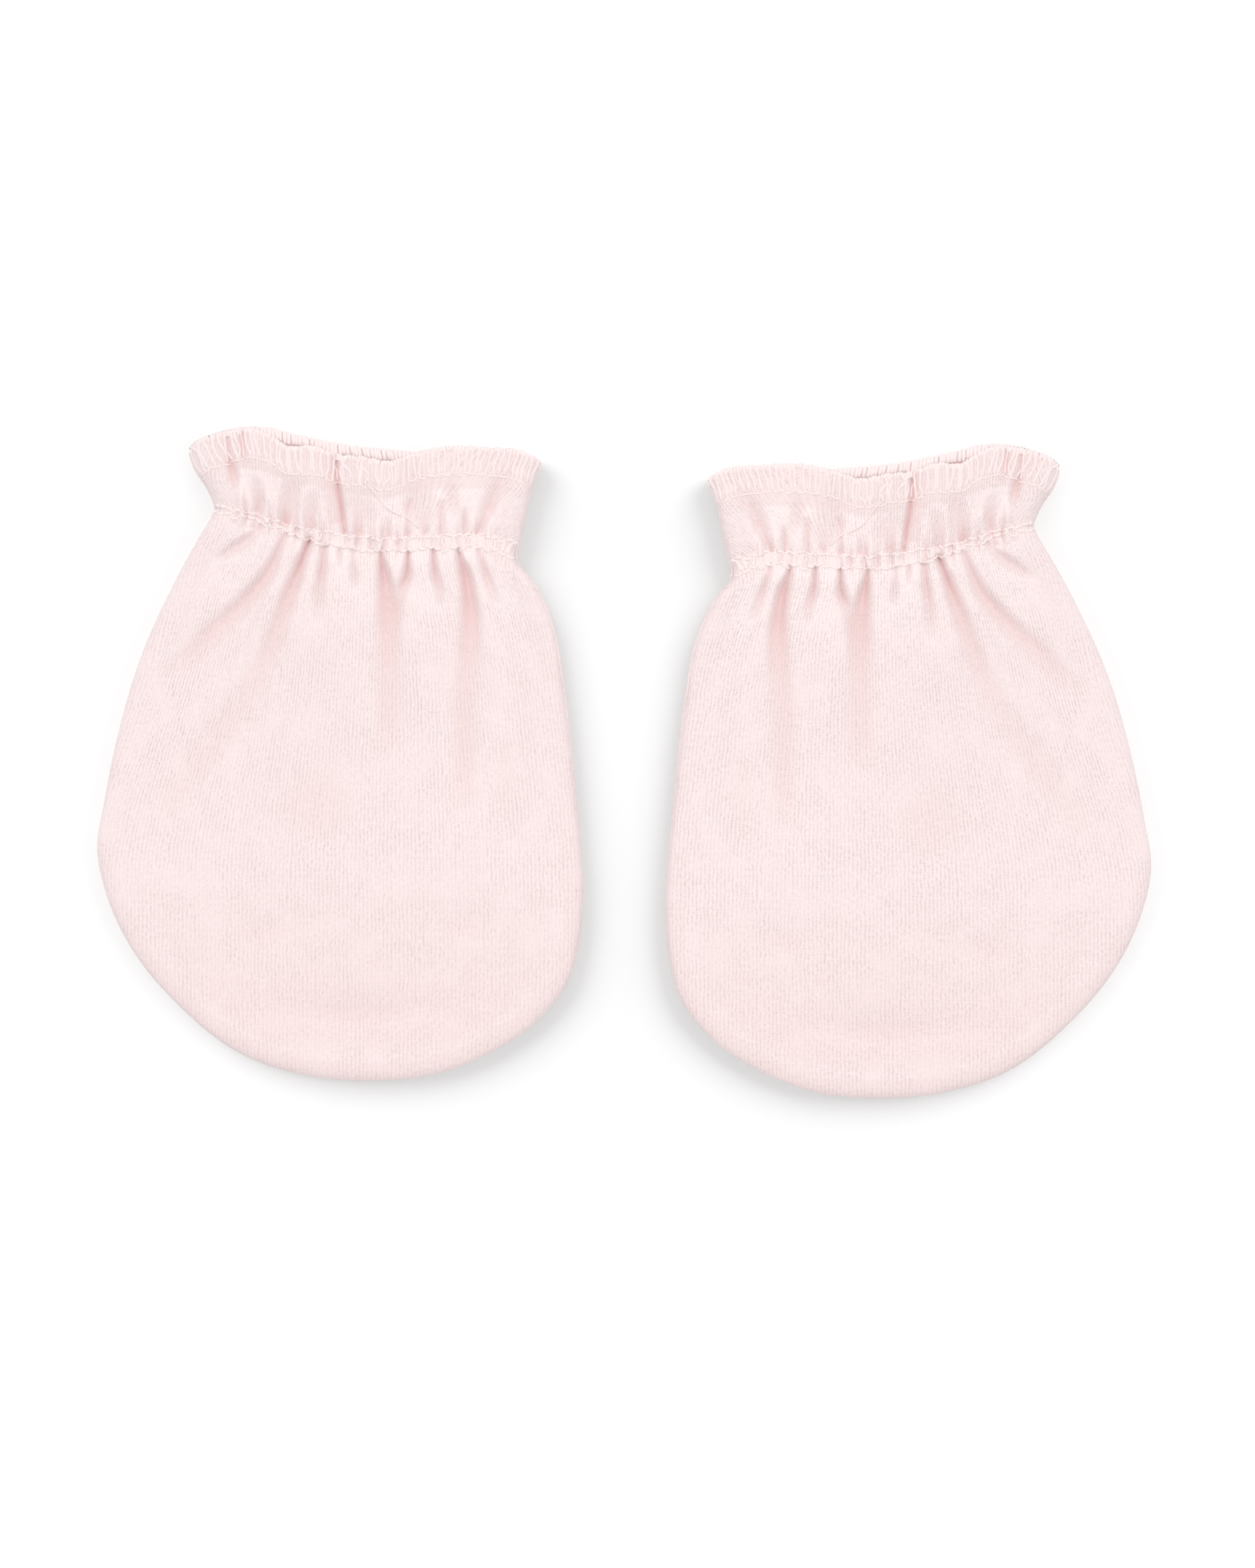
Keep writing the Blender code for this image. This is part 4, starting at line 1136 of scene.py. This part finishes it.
# The knit from its light crowns to its grooves, tinted by the mask: painted shade, deeper, in folds, a
# painted highlight on crests that are drawn together and, above 1, a painted glow on the inner surface,
# as if lit from behind.
def jerseyMaterial(name, knitting):
    material, tree, shader = newMaterial(name, jersey["finish"])
    uv = tree.nodes.new("ShaderNodeUVMap")
    uv.uv_map = "flatCut"
    fold = tree.nodes.new("ShaderNodeAttribute")
    fold.attribute_name = "fold"
    mask = fold.outputs["Fac"]
    # Painted shade from the mask between 0 and 1, a painted highlight where it is below 0.
    deep = calc(tree, "MAXIMUM", calc(tree, "MINIMUM", mask, 1.0), 0.0)
    foldShade = calc(tree, "POWER", deep, jersey["foldShadePower"])
    crest = calc(tree, "MAXIMUM", calc(tree, "MULTIPLY", mask, jersey["crestLightAt"]), 0.0)
    # Painted glow on the inner surface, by how far the mask is above 1.
    inside = calc(tree, "SUBTRACT", calc(tree, "MAXIMUM", mask, 1.0), 1.0)
    tree.links.new(inside, shader.inputs["Emission Strength"])
    cloth = tree.nodes.new("ShaderNodeGroup")
    cloth.node_tree = knitting
    cloth.inputs["Wale"].default_value = jersey["wale"]
    cloth.inputs["Course"].default_value = jersey["course"]
    tree.links.new(uv.outputs[0], cloth.inputs["Flat Cut"])
    tree.links.new(foldShade, cloth.inputs["Hollow"])
    surface = mixColour(tree, cloth.outputs["Groove"], jersey["crown"], jersey["groove"])
    # Painted highlight on the crests, then painted shade in the folds.
    drawn = mixColour(tree, crest, surface, jersey["crestLight"], "MULTIPLY")
    colour = mixColour(tree, foldShade, drawn, jersey["foldShade"], "MULTIPLY")
    tree.links.new(colour, shader.inputs["Base Color"])
    addBump(tree, shader, cloth.outputs["Height"], jersey["relief"])
    return material


thread = {
    "shade": (0.94, 0.84, 0.828, 1.0),
    "groove": (0.91, 0.775, 0.762, 1.0),
    "twist": 0.0005,      # length of one turn of the yarn
    "relief": 0.00004,
    "finish": {"Roughness": 0.85, "Sheen Weight": 0.3, "Specular IOR Level": 0.2},
}


# Spun sewing thread: small fuzzy patches, as long as the yarn's twist, between a light and a deeper pink.
def threadMaterial(name, light, deep):
    material, tree, shader = newMaterial(name, thread["finish"])
    place = tree.nodes.new("ShaderNodeTexCoord")
    noise = addNoise(tree, 1 / thread["twist"], 1.0, place.outputs["Object"])
    tree.links.new(mixColour(tree, noise, light, deep), shader.inputs["Base Color"])
    addBump(tree, shader, noise, thread["relief"])
    return material


jerseyFinish = jerseyMaterial("pinkJersey", jerseyGroup())
threadFinish = threadMaterial("pinkThread", thread["shade"], thread["groove"])
# Painted shade of the needle holes.
holeShadeFinish = threadMaterial("needleHoleShade", holes["shade"], thread["groove"])
panels = {side: shapePanel(side) for side in panelGrid}
print("panels shaped")

tail = {
    # The overlock's thread end, which lies down the frill: x, y
    "path": (
        (4.4, 44.2), (5.9, 42.8), (6.7, 41.6), (7.4, 40.7), (8.8, 39.7), (10.0, 39.1), (11.0, 38.7),
        (12.0, 37.9), (13.0, 37.0),
    ),
    "thread": 0.12,
}


# Points on top of the front panel at x, y: the nearest vertex's height and direction.
def onTop(panel, path):
    outer = panel["outer"]
    flat = outer.reshape(-1, 3)
    normals = gridNormals(outer).reshape(-1, 3)
    nearest = [int(np.argmin((flat[:, 0] - x) ** 2 + (flat[:, 1] - y) ** 2)) for x, y in path]
    return np.column_stack([path, flat[nearest, 2]]), normals[nearest]


sewingSeed = 5


# Every piece of one mitten's sewing, by name: groups of lines and the radius of their thread.
def sewThreads():
    random = np.random.default_rng(sewingSeed)
    sewn, plugs = {}, []
    for side, panel in panels.items():
        row = len(panel["outer"]) - 1
        loops, entries = looperThread(panel, random)
        needle, _ = needleThread(panel, row, needleHeight, needleLine, random)
        wraps = list(wrapLines(panel, random))
        sewn[side + "_overlock"] = [
            ([loops], overlock["thread"]), ([needle], needleLine["thread"]), (wraps, overlock[side]["rope"]),
        ]
        stitches, entered = wristThreads(panel, random)
        sewn[side + "_wrist_stitching"] = [(stitches, wrist["thread"])]
        if side == "front":
            plugs = needleHoleShade(panel, row, *entries) + entered
    at, normal = onTop(panels["front"], tail["path"])
    sewn["thread_tail"] = [([smoothCurve(at + normal * tail["thread"], 6)], tail["thread"])]
    # The needle holes' pieces carry painted shade.
    sewn["needle_holes"] = [(plugs, holes["radius"])]
    return sewn


sewing = sewThreads()
print("threads laid")

mittens = {"left": 1, "right": -1}
pieces = {}
for hand, mirror in mittens.items():
    place = (-mirror * pair["spacing"] / 2, mirror * pair["stagger"] / 2 + pair["shift"], 0.0)
    made = {}
    for side, panel in panels.items():
        cloth = buildPanel(f"{hand}_{side}_cloth", panel, place, mirror, jerseyFinish)
        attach(cloth, "root")
        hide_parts(f"{hand}_{side}_panel")
        made[side] = cloth
    for label, groups in sewing.items():
        # The needle holes' pieces take the painted shade.
        finish = holeShadeFinish if label == "needle_holes" else threadFinish
        piece = addThreads(f"{hand}_{label}", groups, place, mirror, finish)
        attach(piece, "root")
        made[label] = piece
    pieces[hand] = list(made.values())
print("mittens sewn")

floorLie = {
    "size": 16.0,
    "drop": 0.00005,
    "finish": {"Base Color": (0.449, 0.449, 0.449, 1.0), "Roughness": 1.0, "Specular IOR Level": 0.0},
}


def addFloor():
    half, low = floorLie["size"] / 2, -floorLie["drop"]
    corners = [(-half, -half, low), (half, -half, low), (half, half, low), (-half, half, low)]
    mesh = bpy.data.meshes.new("floor")
    mesh.from_pydata(corners, [], [(0, 1, 2, 3)])
    mesh.materials.append(newMaterial("paleFloor", floorLie["finish"])[0])
    floor = bpy.data.objects.new("floor", mesh)
    bpy.context.scene.collection.objects.link(floor)
    return floor


# The suns: strength, where they shine from on the left mitten, and how wide they are in degrees
suns = {
    "overhead": (0.36, (0.0, 0.0, 1.0), 30.0),     # on both mittens, shaded by everything
    "cloth": (0.9, (-0.2, 0.72, 1.0), 40.0),       # on one mitten, and shaded by it alone, as the next
    "edge": (0.36, (0.9, -0.3, 0.35), 60.0),       # for the side that faces the other mitten
    "floor": (3.6, (-0.8, 0.55, 0.6), 50.0),       # on the floor, where one mitten shades its inner side
    "back": (0.8, (0.8, -0.1, 0.5), 50.0),         # the same, for the weak shade on its outer side
    "top": (0.8, (0.0, 0.85, 0.5), 50.0),          # on the floor, for the shade below both mittens
}


def gather(name, objects):
    group = bpy.data.collections.new(name)
    for item in objects:
        group.objects.link(item)
    return group


# A sun that lights only some things. Where shading is given, only that shades them.
def addSun(owner, kind, mirror, lit, shading=None):
    strength, (x, y, z), wide = suns[kind]
    light = bpy.data.lights.new(owner + kind, "SUN")
    light.energy = strength
    light.angle = np.radians(wide)
    sun = bpy.data.objects.new(owner + kind, light)
    sun.rotation_euler = Vector((mirror * x, y, z)).to_track_quat("Z", "Y").to_euler()
    bpy.context.scene.collection.objects.link(sun)
    sun.light_linking.receiver_collection = gather(owner + kind + "Lit", lit)
    if shading:
        sun.light_linking.blocker_collection = gather(owner + kind + "Shading", shading)


floor = addFloor()
both = pieces["left"] + pieces["right"]
addSun("", "overhead", 1, both)
for hand, mirror in mittens.items():
    for kind in ("cloth", "edge"):
        addSun(hand, kind, mirror, pieces[hand], pieces[hand])
    for kind in ("floor", "back"):
        addSun(hand, kind, mirror, [floor], pieces[hand])
addSun("both", "top", 1, [floor], both)

sky = {"Color": (1.0, 1.0, 1.0, 1.0), "Strength": 0.74}
world = bpy.data.worlds.new("studio")
world.use_nodes = True
for label, value in sky.items():
    world.node_tree.nodes["Background"].inputs[label].default_value = value
bpy.context.scene.world = world

view = {
    "centre": (0.00054, -0.00343),
    "height": 0.2587,  # what the picture's height covers on the floor
    "lens": 150.0,
    "sensor": 36.0,
    "farthest": 20.0,
}
camera = bpy.data.objects.new("camera", bpy.data.cameras.new("camera"))
camera.data.lens = view["lens"]
camera.data.sensor_fit = "VERTICAL"
camera.data.sensor_height = view["sensor"]
camera.data.clip_end = view["farthest"]
camera.location = (*view["centre"], view["lens"] * view["height"] / view["sensor"])
bpy.context.scene.collection.objects.link(camera)
bpy.context.scene.camera = camera
bpy.context.scene.view_settings.view_transform = "Standard"

print("scene ready")
